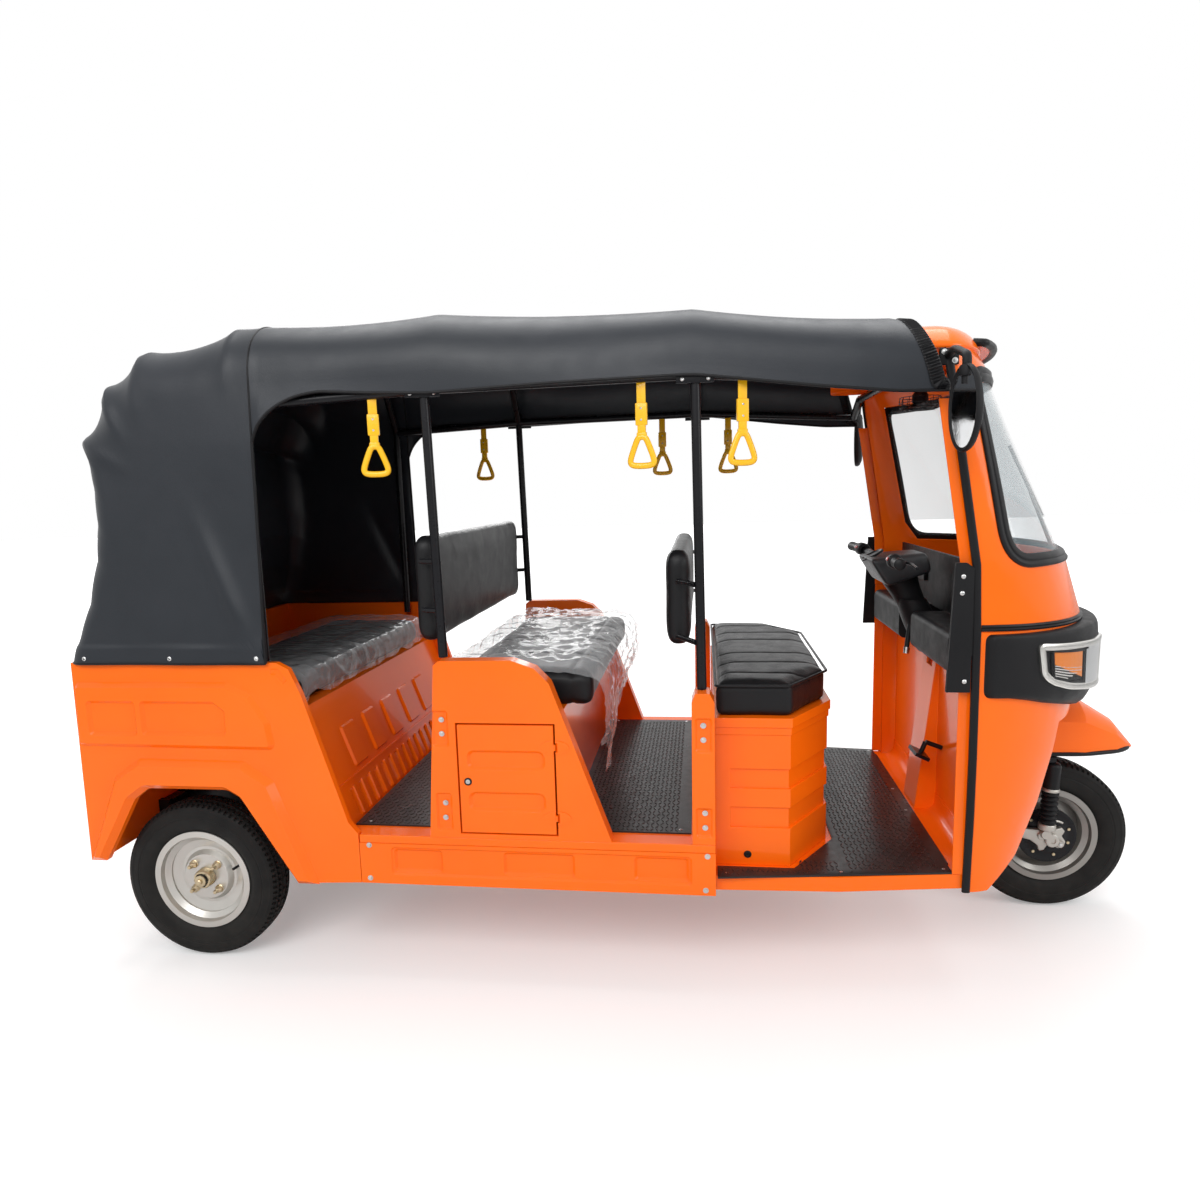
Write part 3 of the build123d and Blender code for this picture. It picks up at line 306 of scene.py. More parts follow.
ORANGE = Finish("orange_paint", (1.0, 0.160, 0.004), (0.98, 0.146, 0.003), (0.20, 0.24), coat=0.25,
                grain_m=0.00006, grain_per_m=260, spec=0.15)
BLACK_PAINT = Finish("black_enamel", (0.006, 0.006, 0.007), (0.009, 0.009, 0.011), (0.24, 0.34), coat=0.06,
                     spec=0.18)
PLASTIC = Finish("moulded_black_plastic", (0.007, 0.007, 0.008), (0.011, 0.011, 0.012), (0.40, 0.52),
                 grain=Grain.SKIN, grain_m=0.00012, grain_per_m=900, spec=0.16)
GREY_PLASTIC = Finish("moulded_grey_plastic", (0.020, 0.021, 0.023), (0.028, 0.029, 0.031), (0.30, 0.40),
                      grain=Grain.SKIN, grain_m=0.00012, grain_per_m=900, spec=0.22)
CANOPY = Finish("canopy_vinyl_cloth", (0.013, 0.016, 0.021), (0.018, 0.021, 0.027), (0.34, 0.44),
                grain=Grain.WEAVE, grain_m=0.00010, grain_per_m=260, blotch_per_m=2.2, spec=0.34)
SEAT = Finish("black_seat_vinyl", (0.007, 0.007, 0.008), (0.011, 0.011, 0.012), (0.30, 0.40),
              grain=Grain.SKIN, grain_m=0.00018, grain_per_m=520, spec=0.2)
CAST_METAL = Finish("cast_aluminium", (0.52, 0.50, 0.46), (0.38, 0.36, 0.33), (0.34, 0.5), metal=0.9,
                    grain=Grain.CAST, grain_m=0.0005, grain_per_m=320, dust=0.1)
WHEEL_SILVER = Finish("silver_wheel_paint", (0.60, 0.585, 0.55), (0.50, 0.485, 0.455), (0.28, 0.38),
                      metal=0.8, coat=0.2, grain_m=0.0001, grain_per_m=700, dust=0.12)
WHEEL_GREY = Finish("grey_wheel_paint", (0.30, 0.29, 0.27), (0.24, 0.23, 0.22), (0.28, 0.38), metal=0.7,
                    grain_m=0.0001, grain_per_m=700, dust=0.12)
BRASS = Finish("yellow_zinc", (0.60, 0.50, 0.33), (0.50, 0.41, 0.27), (0.25, 0.4), metal=1.0,
               grain=Grain.BRUSH, grain_per_m=900)
ZINC = Finish("bright_zinc", (0.66, 0.66, 0.65), (0.5, 0.5, 0.5), (0.22, 0.38), metal=1.0,
              grain=Grain.BRUSH, grain_per_m=900)
RUBBER = Finish("road_tyre_rubber", (0.007, 0.007, 0.0072), (0.011, 0.0107, 0.0103), (0.50, 0.66),
                grain=Grain.CAST, grain_m=0.0003, grain_per_m=500, dust=0.035, spec=0.14)
TRIM_RUBBER = Finish("trim_rubber", (0.006, 0.006, 0.007), (0.009, 0.009, 0.010), (0.34, 0.46),
                     grain=Grain.CAST, grain_m=0.0002, grain_per_m=600, spec=0.18)
MAT_RUBBER = Finish("floor_plate_rubber", (0.014, 0.014, 0.014), (0.022, 0.021, 0.021), (0.26, 0.42),
                    grain=Grain.CAST, grain_m=0.0002, grain_per_m=500, blotch_per_m=6, spec=0.28)
YELLOW = Finish("yellow_handle_plastic", (0.95, 0.52, 0.014), (0.93, 0.49, 0.012), (0.22, 0.30), coat=0.3,
                grain_m=0.0001, grain_per_m=300)
AMBER = Finish("amber_lens", (0.95, 0.26, 0.01), (0.8, 0.2, 0.01), (0.08, 0.14), coat=0.6, grain=Grain.BRUSH,
               grain_per_m=300)
RED_LENS = Finish("red_lens", (0.55, 0.008, 0.010), (0.4, 0.004, 0.006), (0.08, 0.14), coat=0.6,
                  grain=Grain.BRUSH, grain_per_m=300)
SATIN_CHROME = Finish("satin_chrome", (0.78, 0.765, 0.73), (0.70, 0.685, 0.65), (0.16, 0.26), metal=1.0,
                      grain=Grain.BRUSH, grain_per_m=400)
CHROME = Finish("mirror_chrome", (0.86, 0.87, 0.88), (0.8, 0.81, 0.82), (0.03, 0.07), metal=1.0,
                grain_per_m=60)
ENGINE = Finish("engine_paint", (0.09, 0.09, 0.095), (0.05, 0.05, 0.05), (0.45, 0.6), metal=0.4,
                grain=Grain.CAST, grain_m=0.0006, grain_per_m=200, dust=0.35)


@dataclass(frozen=True)
class Clear:
    """A clear finish: glass, a lamp lens or film."""

    name: str
    tint: Point
    alpha: float
    rough: float = 0.02
    streak: float = 0.0

    def material(self) -> bpy.types.Material:
        """Builds the clear finish once and reuses it.

        Returns:
            The node material.
        """
        known = bpy.data.materials.get(self.name)
        if known:
            return known
        s = Shader(self.name)
        s.link(s.mixed(s.ranged(s.noise(5), 0, 1), self.tint, tuple(0.9 * c for c in self.tint)),
               s.bsdf.inputs["Base Color"])
        # Opacity rises towards grazing angles, so more of the base colour shows where the surface turns
        # edge-on; on the white packing film this paints a whitish sheen along the folds in place of their
        # reflection.
        edge = s.node("ShaderNodeLayerWeight")
        edge.inputs["Blend"].default_value = 0.35
        smear = s.node("ShaderNodeMath", operation="MULTIPLY_ADD")
        s.link(s.noise(3.5, 8), smear.inputs[0])
        smear.inputs[1].default_value = self.streak
        s.link(s.ranged(edge.outputs["Facing"], self.alpha, min(1.0, self.alpha * 2.6 + 0.1), 0, 1),
               smear.inputs[2])
        s.link(smear.outputs[0], s.bsdf.inputs["Alpha"])
        s.link(s.ranged(s.noise(14, 6), self.rough, self.rough + 0.05), s.bsdf.inputs["Roughness"])
        s.set(Coat_Weight=1.0, Coat_Roughness=0.02, IOR=1.5)
        return s.material


GLASS = Clear("safety_glass", (0.30, 0.41, 0.45), 0.09, streak=0.05)
LENS = Clear("clear_lamp_cover", (0.03, 0.03, 0.03), 0.03)
# The film's white shows mostly where it turns edge-on: a painted sheen on its folds rather than a reflection.
FILM = Clear("packing_film", (0.97, 0.98, 1.0), 0.10, 0.03, streak=0.10)

NODE_FINISH = {ORANGE: ("floor_pan", "side_sills", "rear_side_panels", "tail_panel", "rear_seat_base",
                        "middle_side_panels", "middle_seat_base", "b_pillars", "driver_seat_box",
                        "nose_upper", "nose_lower", "cab_roof", "cab_inner_panel", "front_mudguard",
                        "box_door_right", "box_door_left"), BLACK_PAINT: ("chassis_frame", "rear_axle",
    "leaf_springs", "canopy_frame", "steering_stem", "head_tube", "brake_pedal", "spring_damper"),
               PLASTIC: ("dashboard", "edge_plates", "headlamp_bezel", "mirrors", "cab_fan", "wiper",
                         "handlebar"), CANOPY: ("canopy",), SEAT: ("rear_seat_cushion", "middle_seat_cushion",
    "driver_seat_cushion", "backrest_pads"), CAST_METAL: ("swing_arm",),
               WHEEL_SILVER: ("rear_right_rim", "rear_left_rim"), WHEEL_GREY: ("front_rim",),
               RUBBER: ("rear_right_tyre", "rear_left_tyre", "front_tyre"), MAT_RUBBER: ("floor_mats",),
               YELLOW: ("grab_handles",), RED_LENS: ("tail_lamps",), ENGINE: ("engine_block",),
               GLASS: ("windscreen",), LENS: ("headlamps",),}


def dress_nodes() -> None:
    """Gives every CAD node its finish."""
    for finish, names in NODE_FINISH.items():
        for name in names:
            if name not in frame["nodes"]:
                LOG.warning("no node %s", name)
                continue
            mesh = frame["nodes"][name].data
            mesh.materials.clear()
            mesh.materials.append(finish.material())


# ---- studio -------------------------------------------------------------------------------------
@dataclass
class Studio:
    """Pale floor, soft light and the camera."""

    floor_m: float = 60.0
    eye: Point = (0.2642, -2.8727, 1.5286)
    yaw: float = -0.1311
    pitch: float = 0.1392
    roll: float = -0.028
    focal_px: float = 784.56
    frame_px: int = 1200
    sensor_mm: float = 36.0

    def build(self) -> None:
        """Makes the floor, the lamps, the world and the camera."""
        self.floor()
        self.world()
        self.lamp("key", (-1.2, -4.6, 4.2), (-0.2, 0, 0.9), (4.2, 2.4), 165)
        self.lamp("front", (5.2, -2.4, 3.0), (0.9, 0, 0.9), (2.6, 2.6), 80)
        self.lamp("top", (0.0, 0.6, 5.0), (0, 0, 0.8), (5.0, 3.0), 150)
        self.lamp("back", (-2.5, 4.6, 3.2), (0, 0, 1.0), (4.0, 2.0), 90)
        self.camera()

    def floor(self) -> None:
        """A wide floor that is white to the eye and keeps the shadow."""
        bpy.ops.mesh.primitive_grid_add(x_subdivisions=4, y_subdivisions=4, size=self.floor_m,
                                        location=(0, 0, -0.0005))
        floor = bpy.context.object
        floor.name = "studio_floor"
        s = Shader("studio_floor")
        s.link(s.mixed(s.ranged(s.noise(0.4), 0, 1), (0.86, 0.86, 0.86), (0.84, 0.84, 0.84)),
               s.bsdf.inputs["Base Color"])
        s.set(Roughness=0.6, Specular_IOR_Level=0.2)
        seen = s.node("ShaderNodeLightPath")
        glow = s.node("ShaderNodeEmission")
        far = s.node("ShaderNodeVectorMath", operation="LENGTH")
        s.link(s.place, far.inputs[0])
        shown = s.node("ShaderNodeMath", operation="MULTIPLY")
        s.link(s.ranged(far.outputs["Value"], 0.24, 1.0, 2.2, 7.5), shown.inputs[0])
        s.link(seen.outputs["Is Camera Ray"], shown.inputs[1])
        s.link(shown.outputs[0], glow.inputs["Strength"])
        both = s.node("ShaderNodeAddShader")
        s.link(s.bsdf.outputs["BSDF"], both.inputs[0])
        s.link(glow.outputs["Emission"], both.inputs[1])
        s.link(both.outputs[0], s.out.inputs["Surface"])
        floor.data.materials.append(s.material)

    def world(self) -> None:
        """A white surround: full white to the eye and to glass, softer as light."""
        world = bpy.data.worlds.new("studio")
        bpy.context.scene.world = world
        world.use_nodes = True
        tree = world.node_tree
        back = tree.nodes["Background"]
        back.inputs["Color"].default_value = (1, 1, 1, 1)
        seen = tree.nodes.new("ShaderNodeLightPath")
        most = tree.nodes.new("ShaderNodeMath")
        most.operation = "MAXIMUM"
        most_of_all = tree.nodes.new("ShaderNodeMath")
        most_of_all.operation = "MAXIMUM"
        strength = tree.nodes.new("ShaderNodeMapRange")
        strength.inputs["To Min"].default_value = 0.50
        strength.inputs["To Max"].default_value = 1.0
        tree.links.new(seen.outputs["Is Camera Ray"], most.inputs[0])
        tree.links.new(seen.outputs["Is Glossy Ray"], most.inputs[1])
        tree.links.new(most.outputs[0], most_of_all.inputs[0])
        tree.links.new(seen.outputs["Is Transmission Ray"], most_of_all.inputs[1])
        tree.links.new(most_of_all.outputs[0], strength.inputs["Value"])
        tree.links.new(strength.outputs["Result"], back.inputs["Strength"])

    def lamp(self, name: str, place: Point, aim: Point, size: Pair, watts: float) -> None:
        """A soft box.

        Args:
            name: What the lamp is called.
            place: Its middle.
            aim: The point it faces.
            size: Width and height.
            watts: Power.
        """
        bpy.ops.object.light_add(type="AREA", location=place)
        lamp = bpy.context.object
        lamp.name = "softbox_" + name
        lamp.data.shape = "RECTANGLE"
        lamp.data.size, lamp.data.size_y = size
        lamp.data.energy = watts
        lamp.rotation_euler = (Vector(aim) - Vector(place)).to_track_quat("-Z", "Y").to_euler()

    def camera(self) -> None:
        """The camera, from its solved place and angles."""
        cy, sy = math.cos(self.yaw), math.sin(self.yaw)
        cp, sp = math.cos(self.pitch), math.sin(self.pitch)
        ahead = Vector((sy * cp, cy * cp, -sp))
        level = Vector((cy, -sy, 0))
        up = level.cross(ahead)
        cr, sr = math.cos(self.roll), math.sin(self.roll)
        right, top = cr * level + sr * up, cr * up - sr * level
        turn = Matrix((right, top, -ahead)).transposed().to_4x4()
        bpy.ops.object.camera_add()
        camera = bpy.context.object
        camera.matrix_world = Matrix.Translation(self.eye) @ turn
        camera.data.sensor_width = self.sensor_mm
        camera.data.lens = self.focal_px * self.sensor_mm / self.frame_px
        camera.data.clip_end = 200
        bpy.context.scene.camera = camera


# ---- making pieces ------------------------------------------------------------------------------
def only(obj: Object) -> Object:
    """Deselects everything else and makes one object active.

    Args:
        obj: The object.

    Returns:
        The same object.
    """
    bpy.ops.object.select_all(action="DESELECT")
    obj.select_set(True)
    bpy.context.view_layer.objects.active = obj
    return obj


def hand(side: int) -> str:
    """The word for a side in a piece's name."""
    return "right" if side < 0 else "left"


def finished(obj: Object | Sequence[Object], name: str, finish: Finish | Clear, body: Body = Body.SHELL,
             replaces: Sequence[str] = (), smooth: float | None = 35.0, mirror: bool = False) -> Object:
    """Joins a piece's parts, puts its place into its mesh, dresses it and lets it ride.

    Args:
        obj: The new piece, or its parts.
        name: What it is called.
        finish: Its material.
        body: The moving body it rides on.
        replaces: The CAD nodes it stands for.
        smooth: Largest angle in degrees that is shaded smooth, or None to leave the shading.
        mirror: Whether its mirror image is part of it.

    Returns:
        The piece.
    """
    if not isinstance(obj, Object):
        obj = joined(name, obj)
    if mirror:
        obj = joined(obj.name, [obj, mirrored(obj)])
    only(obj)
    obj.name = obj.data.name = name
    bpy.ops.object.transform_apply(location=True, rotation=True, scale=True)
    obj.data.materials.clear()
    obj.data.materials.append(finish.material())
    if smooth is not None:
        bpy.ops.object.shade_smooth_by_angle(angle=math.radians(smooth))
    for node in replaces:
        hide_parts(node)
    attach(obj, body.value)
    LOG.info("%s: %d faces on %s", name, len(obj.data.polygons), body.value)
    return obj


def modified(obj: Object, kind: str, **fields: object) -> Object:
    """Adds a modifier with these settings and applies it.

    Args:
        obj: The object.
        kind: The modifier's Blender type.
        **fields: Its settings, by attribute name.

    Returns:
        The same object.
    """
    only(obj)
    added = obj.modifiers.new(kind.lower(), kind)
    for key, value in fields.items():
        setattr(added, key, value)
    bpy.ops.object.modifier_apply(modifier=added.name)
    return obj


def meshed(name: str, verts: Iterable[Point], faces: Iterable[Sequence[int]] = (),
           edges: Iterable[Sequence[int]] = ()) -> Object:
    """A new object from a list of corners, faces and edges, selected and active.

    Args:
        name: The object's name.
        verts: Corners.
        faces: Faces, by corner.
        edges: Edges, by corner.

    Returns:
        The object.
    """
    mesh = bpy.data.meshes.new(name)
    mesh.from_pydata([tuple(v) for v in verts], list(edges), list(faces))
    obj = bpy.data.objects.new(name, mesh)
    bpy.context.scene.collection.objects.link(obj)
    return only(obj)


def grid(name: str, rows: Sequence[Sequence[Point]]) -> Object:
    """A sheet through rows of points, its doubles merged.

    Args:
        name: What the sheet is called.
        rows: Rows of equally many points.

    Returns:
        The sheet, with no thickness.
    """
    wide = len(rows[0])
    faces = [(r * wide + c, r * wide + c + 1, (r + 1) * wide + c + 1, (r + 1) * wide + c)
             for r in range(len(rows) - 1) for c in range(wide - 1)]
    return merged(meshed(name, [p for row in rows for p in row], faces))


@contextmanager
def editing(obj: Object, pick: str | None = None) -> Iterator[bmesh.types.BMesh | None]:
    """Edit mode on one object: everything selected, or nothing, ready to pick one kind of element.

    Args:
        obj: The object.
        pick: VERT, EDGE or FACE, or None to select everything.

    Yields:
        The mesh to pick from, or None where everything is selected.
    """
    only(obj)
    bpy.ops.object.mode_set(mode="EDIT")
    if pick:
        bpy.ops.mesh.select_mode(type=pick)
    bpy.ops.mesh.select_all(action="DESELECT" if pick else "SELECT")
    yield bmesh.from_edit_mesh(obj.data) if pick else None
    bpy.ops.object.mode_set(mode="OBJECT")


def merged(obj: Object, gap: float = 0.0004, outwards: bool = False) -> Object:
    """Merges points that meet and, if asked, turns the faces outwards.

    Args:
        obj: The object.
        gap: How close points are to meet.
        outwards: Whether its faces are turned outwards.

    Returns:
        The same object.
    """
    with editing(obj):
        bpy.ops.mesh.remove_doubles(threshold=gap)
        if outwards:
            bpy.ops.mesh.normals_make_consistent(inside=False)
    return obj


def joined(name: str, parts: Sequence[Object]) -> Object:
    """Joins separate parts into one object.

    Args:
        name: The joined object's name.
        parts: The parts.

    Returns:
        The first part, with the others in it.
    """
    only(parts[0])
    for part in parts[1:]:
        part.select_set(True)
    if len(parts) > 1:
        bpy.ops.object.join()
    parts[0].name = name
    return parts[0]


def mirrored(obj: Object) -> Object:
    """A copy on the other side of the vehicle, with its own mesh.

    Args:
        obj: The piece on one side.

    Returns:
        The piece on the other side.
    """
    twin = obj.copy()
    twin.data = obj.data.copy()
    bpy.context.scene.collection.objects.link(twin)
    twin.data.transform(Matrix.Diagonal((1, -1, 1, 1)))
    twin.data.flip_normals()
    return twin


def tube(name: str, points: Sequence[Point], radius: float, closed: bool = False, smooth: bool = True,
         turns: int = 3) -> Object:
    """A round cord, wire or bead along points.

    Args:
        name: What the tube is called.
        points: Where it runs.
        radius: Its radius.
        closed: Whether its ends meet.
        smooth: Whether it runs in one smooth curve instead of straight runs.
        turns: Resolution round the tube.

    Returns:
        The tube as a mesh.
    """
    curve = bpy.data.curves.new(name, "CURVE")
    curve.dimensions = "3D"
    curve.bevel_depth = radius
    curve.bevel_resolution = turns
    curve.use_fill_caps = not closed
    spline = curve.splines.new("NURBS" if smooth else "POLY")
    spline.points.add(len(points) - 1)
    for point, place in zip(spline.points, points):
        point.co = (*place, 1.0)
    spline.use_cyclic_u = closed
    if smooth:
        spline.order_u = 3
        spline.use_endpoint_u = not closed
        spline.resolution_u = 4
    obj = bpy.data.objects.new(name, curve)
    bpy.context.scene.collection.objects.link(obj)
    only(obj)
    bpy.ops.object.convert(target="MESH")
    return bpy.context.object


def spun(name: str, profile: Sequence[Pair], centre: Point, axis: Point, steps: int = 48,
         ring: bool = False) -> Object:
    """A turned piece: a profile of (along the axis, radius) spun round it.

    Args:
        name: What the piece is called.
        profile: Its outline from one end to the other.
        centre: Where the axis starts.
        axis: The way the axis points, along X, Y or Z or between.
        steps: Facets round the axis.
        ring: Whether the outline closes on itself.

    Returns:
        The turned piece, faces outwards.
    """
    along = Vector(axis).normalized()
    side = along.orthogonal().normalized()
    verts = [Vector(centre) + along * a + side * r for a, r in profile]
    edges = [(i, i + 1) for i in range(len(profile) - 1)] + ([(len(profile) - 1, 0)] if ring else [])
    obj = meshed(name, verts, edges=edges)
    with editing(obj):
        bpy.ops.mesh.spin(steps=steps, angle=2 * math.pi, center=centre, axis=along)
    return merged(obj, 0.00005, outwards=True)


def block(middle: Point, size: Point, edge: float, segments: int = 2, turn: Point = (0, 0, 0)) -> Object:
    """A box with rolled edges.

    Args:
        middle: Its middle.
        size: Its three sides.
        edge: Width of the rolled edges.
        segments: Facets on each edge.
        turn: Its turn about the axes.

    Returns:
        The box.
    """
    bpy.ops.object.select_all(action="DESELECT")
    bpy.ops.mesh.primitive_cube_add(size=1, location=middle, scale=size, rotation=turn)
    made = bpy.context.object
    bpy.ops.object.transform_apply(location=True, rotation=True, scale=True)
    return modified(made, "BEVEL", width=edge, segments=segments)


def round_head(place: Point, axis: Point, radius: float = 0.006, height: float = 0.004) -> Object:
    """A domed screw or snap head with a driven recess.

    Args:
        place: Where it sits.
        axis: The way it faces.
        radius: Its radius.
        height: Its height.

    Returns:
        The head.
    """
    profile = ((0, radius), (0.3 * height, radius), (0.75 * height, 0.8 * radius), (height, 0.45 * radius),
               (0.55 * height, 0.3 * radius), (0.5 * height, 0.0))
    return spun("head", ((0.0, 0.0),) + profile, place, axis, 14)


def hex_head(place: Point, axis: Point, across: float = 0.010, height: float = 0.006) -> Object:
    """A hexagon head on its washer, its corners chamfered.

    Args:
        place: Where it sits.
        axis: The way it faces.
        across: The washer's radius.
        height: The head's height.

    Returns:
        The head with its washer.
    """
    turn = Vector(axis).to_track_quat("Z", "Y")
    middle = Vector(place) + Vector(axis).normalized() * (height / 2 + 0.0015)
    bpy.ops.mesh.primitive_cylinder_add(vertices=6, radius=across * 0.577 * 1.15, depth=height,
                                        location=middle, rotation=turn.to_euler())
    head = bpy.context.object
    modified(head, "BEVEL", width=height * 0.12, segments=2)
    only(head)
    bpy.ops.object.transform_apply(location=True, rotation=True, scale=True)
    washer = spun("washer", ((0, 0.0), (0, across), (0.0015, across), (0.0018, 0.0)), place, axis, 20)
    return joined("bolt", [head, washer])


# ---- pressed panels -----------------------------------------------------------------------------
@dataclass(frozen=True)
class Panel:
    """A pressed or moulded part whose corners are rolled over, made from a copy of its solid."""

    node: str
    roll: float = 0.003
    body: Body = Body.SHELL
    finish: Finish = ORANGE
    segments: int = 2
    sharp: float = 24.0

    def build(self) -> Object:
        """Merges the copy, rolls its corners and lets it stand for the solid.

        Returns:
            The softened panel.
        """
        source = frame["nodes"][self.node]
        panel = source.copy()
        panel.data = source.data.copy()
        bpy.context.scene.collection.objects.link(panel)
        merged(panel, 0.00002)
        modified(panel, "DECIMATE", decimate_type="DISSOLVE", angle_limit=math.radians(0.6))
        modified(panel, "BEVEL", width=self.roll, segments=self.segments, limit_method="ANGLE",
                 angle_limit=math.radians(self.sharp), harden_normals=False, use_clamp_overlap=True,
                 miter_outer="MITER_ARC")
        modified(panel, "WEIGHTED_NORMAL", keep_sharp=False, weight=60)
        return finished(panel, self.node + "_pressed", self.finish, self.body, (self.node,), smooth=None)


PANELS = (Panel("rear_side_panels", 0.006, segments=3), Panel("side_sills"), Panel("middle_side_panels"),
          Panel("b_pillars"), Panel("driver_seat_box"), Panel("rear_seat_base"), Panel("tail_panel"),
          Panel("middle_seat_base"), Panel("nose_upper"), Panel("nose_lower"), Panel("cab_inner_panel"),
          Panel("floor_pan"), Panel("front_mudguard", body=Body.STEERING),
          Panel("box_door_right", 0.002, Body.DOOR_RIGHT), Panel("box_door_left", 0.002, Body.DOOR_LEFT),
          Panel("dashboard", 0.006, finish=PLASTIC),)


# ---- fasteners and locks ------------------------------------------------------------------------
@dataclass
class Fasteners:
    """Bolts on the pressed panels, the box locks, the drain plugs and the post brackets."""

    face: float = 0.660
    pad: float = 0.656
    sill: tuple[Pair, ...] = ((0.632, 0.448), (0.629, 0.339), (1.682, 0.446), (1.676, 0.339))
    pads: tuple[Pair, ...] = (
        (0.888, 0.855), (0.887, 0.811), (0.887, 0.592), (0.885, 0.545), (1.673, 0.845), (1.673, 0.802),
        (1.676, 0.579), (1.676, 0.534))
    lock: Pair = (0.963, 0.663)
    plug: Point = (1.805, 0.5455, 0.402)
    posts: tuple[Pair, ...] = ((0.874, 1.826), (1.660, 1.832))

    def build(self) -> None:
        """Places every fastener on its panel, the same on both sides."""
        bolts = [hex_head((x + AXLE_X, -self.face, z), (0, -1, 0), 0.0085, 0.005) for x, z in self.sill]
        bolts += [hex_head((x + AXLE_X, -self.pad, z), (0, -1, 0), 0.0085, 0.005) for x, z in self.pads]
        finished(bolts, "panel_bolts", ZINC, mirror=True)
        x, y, z = self.plug
        plug = spun("seat_box_plugs", ((0, 0), (0, 0.012), (0.003, 0.010), (0.004, 0.006), (0.0015, 0)),
                    (x + AXLE_X, -y, z), (0, -1, 0), 20)
        finished(plug, "seat_box_plugs", TRIM_RUBBER, mirror=True)
        for side, body in ((-1, Body.DOOR_RIGHT), (1, Body.DOOR_LEFT)):
            self.box_lock(side, body)
        self.brackets()

    def box_lock(self, side: int, body: Body) -> None:
        """A cam lock: black ring, silver barrel and its key slot.

        Args:
            side: -1 on the right, 1 on the left.
            body: The door it is in.
        """
        place = (self.lock[0] + AXLE_X, side * (self.face + 0.001), self.lock[1])
        suffix = hand(side)
        ring = spun("lock_ring_" + suffix, ((0, 0.0075), (0, 0.012), (0.003, 0.0115), (0.004, 0.0095),
                                            (0.0035, 0.0075)), place, (0, side, 0), 28, ring=True)
        finished(ring, "lock_ring_" + suffix, TRIM_RUBBER, body)
        barrel = spun("lock_barrel_" + suffix, ((0, 0), (0, 0.0073), (0.003, 0.0073), (0.0036, 0.0066),
                                                (0.0036, 0)), place, (0, side, 0), 28)
        only(barrel)
        bpy.ops.mesh.primitive_cube_add(size=1, location=(place[0], place[1] + side * 0.0036, place[2]),
                                        scale=(0.0014, 0.004, 0.008))
        slot = bpy.context.object
        modified(barrel, "BOOLEAN", object=slot, operation="DIFFERENCE", solver="EXACT")
        bpy.data.objects.remove(slot)
        finished(barrel, "lock_barrel_" + suffix, ZINC, body)

    def brackets(self) -> None:
        """Bolted plates where the posts meet the rail under the hem."""
        plates, heads = [], []
        for x, z in self.posts:
            plates.append(block((x + AXLE_X, -0.6225, z), (0.105, 0.004, 0.034), 0.0012))
            heads += [round_head((x + AXLE_X + off, -0.6245, z - 0.006), (0, -1, 0), 0.0062, 0.004)
                      for off in (-0.036, 0.036)]
        finished(plates, "post_brackets", BLACK_PAINT, mirror=True)
        finished(heads, "post_screws", ZINC, mirror=True)


# ---- floor mats ---------------------------------------------------------------------------------
@dataclass
class ChequerMat:
    """Chequered rubber laid on the floor: rows of raised lozenges that lie crosswise in turn."""

    name: str
    x: Pair
    half: float
    top: float
    keep_out: tuple[Point, ...] = ()
    edge: tuple[Pair, ...] = ((-9.0, 9.0), (9.0, 9.0))
    pitch: Pair = (0.0150, 0.0230)
    long: float = 0.0118
    wide: float = 0.0036
    rise: float = 0.0016
    lean: float = 24.0

    def lozenge(self, x: float, y: float, turn: float) -> Object:
        """One raised lozenge with sloped sides.

        Args:
            x: Its middle.
            y: Its middle.
            turn: The way it points, in degrees.

        Returns:
            The lozenge.
        """
        bpy.ops.mesh.primitive_circle_add(vertices=4, radius=1, fill_type="NGON", location=(x, y, self.top),
                                          rotation=(0, 0, math.radians(turn)))
        stud = bpy.context.object
        with editing(stud):
            bpy.ops.transform.resize(value=(self.long, self.wide, 1), orient_type="LOCAL")
            bpy.ops.mesh.extrude_region_move(TRANSFORM_OT_translate={"value": (0, 0, self.rise)})
            bpy.ops.transform.resize(value=(0.72, 0.6, 1), orient_type="LOCAL")
        return stud

    def build(self) -> None:
        """Lays the lozenges in rows and lifts those under the seats."""
        low, high = self.x
        across, along_y = self.pitch
        studs = [self.lozenge(low + across * (0.5 + col), -self.half + along_y * (0.5 + row),
                              90 + self.lean * (1 if (row + col) % 2 else -1))
                 for col in range(2) for row in range(2)]
        cell = joined(self.name, studs)
        only(cell)
        bpy.ops.object.transform_apply(location=True, rotation=True, scale=True)
        for axis, length, pitch in ((0, high - low, across), (1, 2 * self.half, along_y)):
            offset = [0.0, 0.0, 0.0]
            offset[axis] = 2 * pitch
            modified(cell, "ARRAY", count=int(length / (2 * pitch)), use_relative_offset=False,
                     use_constant_offset=True, constant_offset_displace=offset)
        self.clear(cell)
        finished(cell, self.name, MAT_RUBBER, smooth=None)

    def clear(self, cell: Object) -> None:
        """Takes away the lozenges under the boxes that stand on the mat.

        Args:
            cell: All the lozenges.
        """
        with editing(cell, "VERT") as form:
            for vert in form.verts:
                x, y = vert.co.x, abs(vert.co.y)
                covered = any(x0 < x < x1 and y < half for x0, x1, half in self.keep_out)
                vert.select = covered or y > along(self.edge, x)
            form.select_flush(True)
            bpy.ops.mesh.select_linked(delimit=set())
            bpy.ops.mesh.delete(type="VERT")


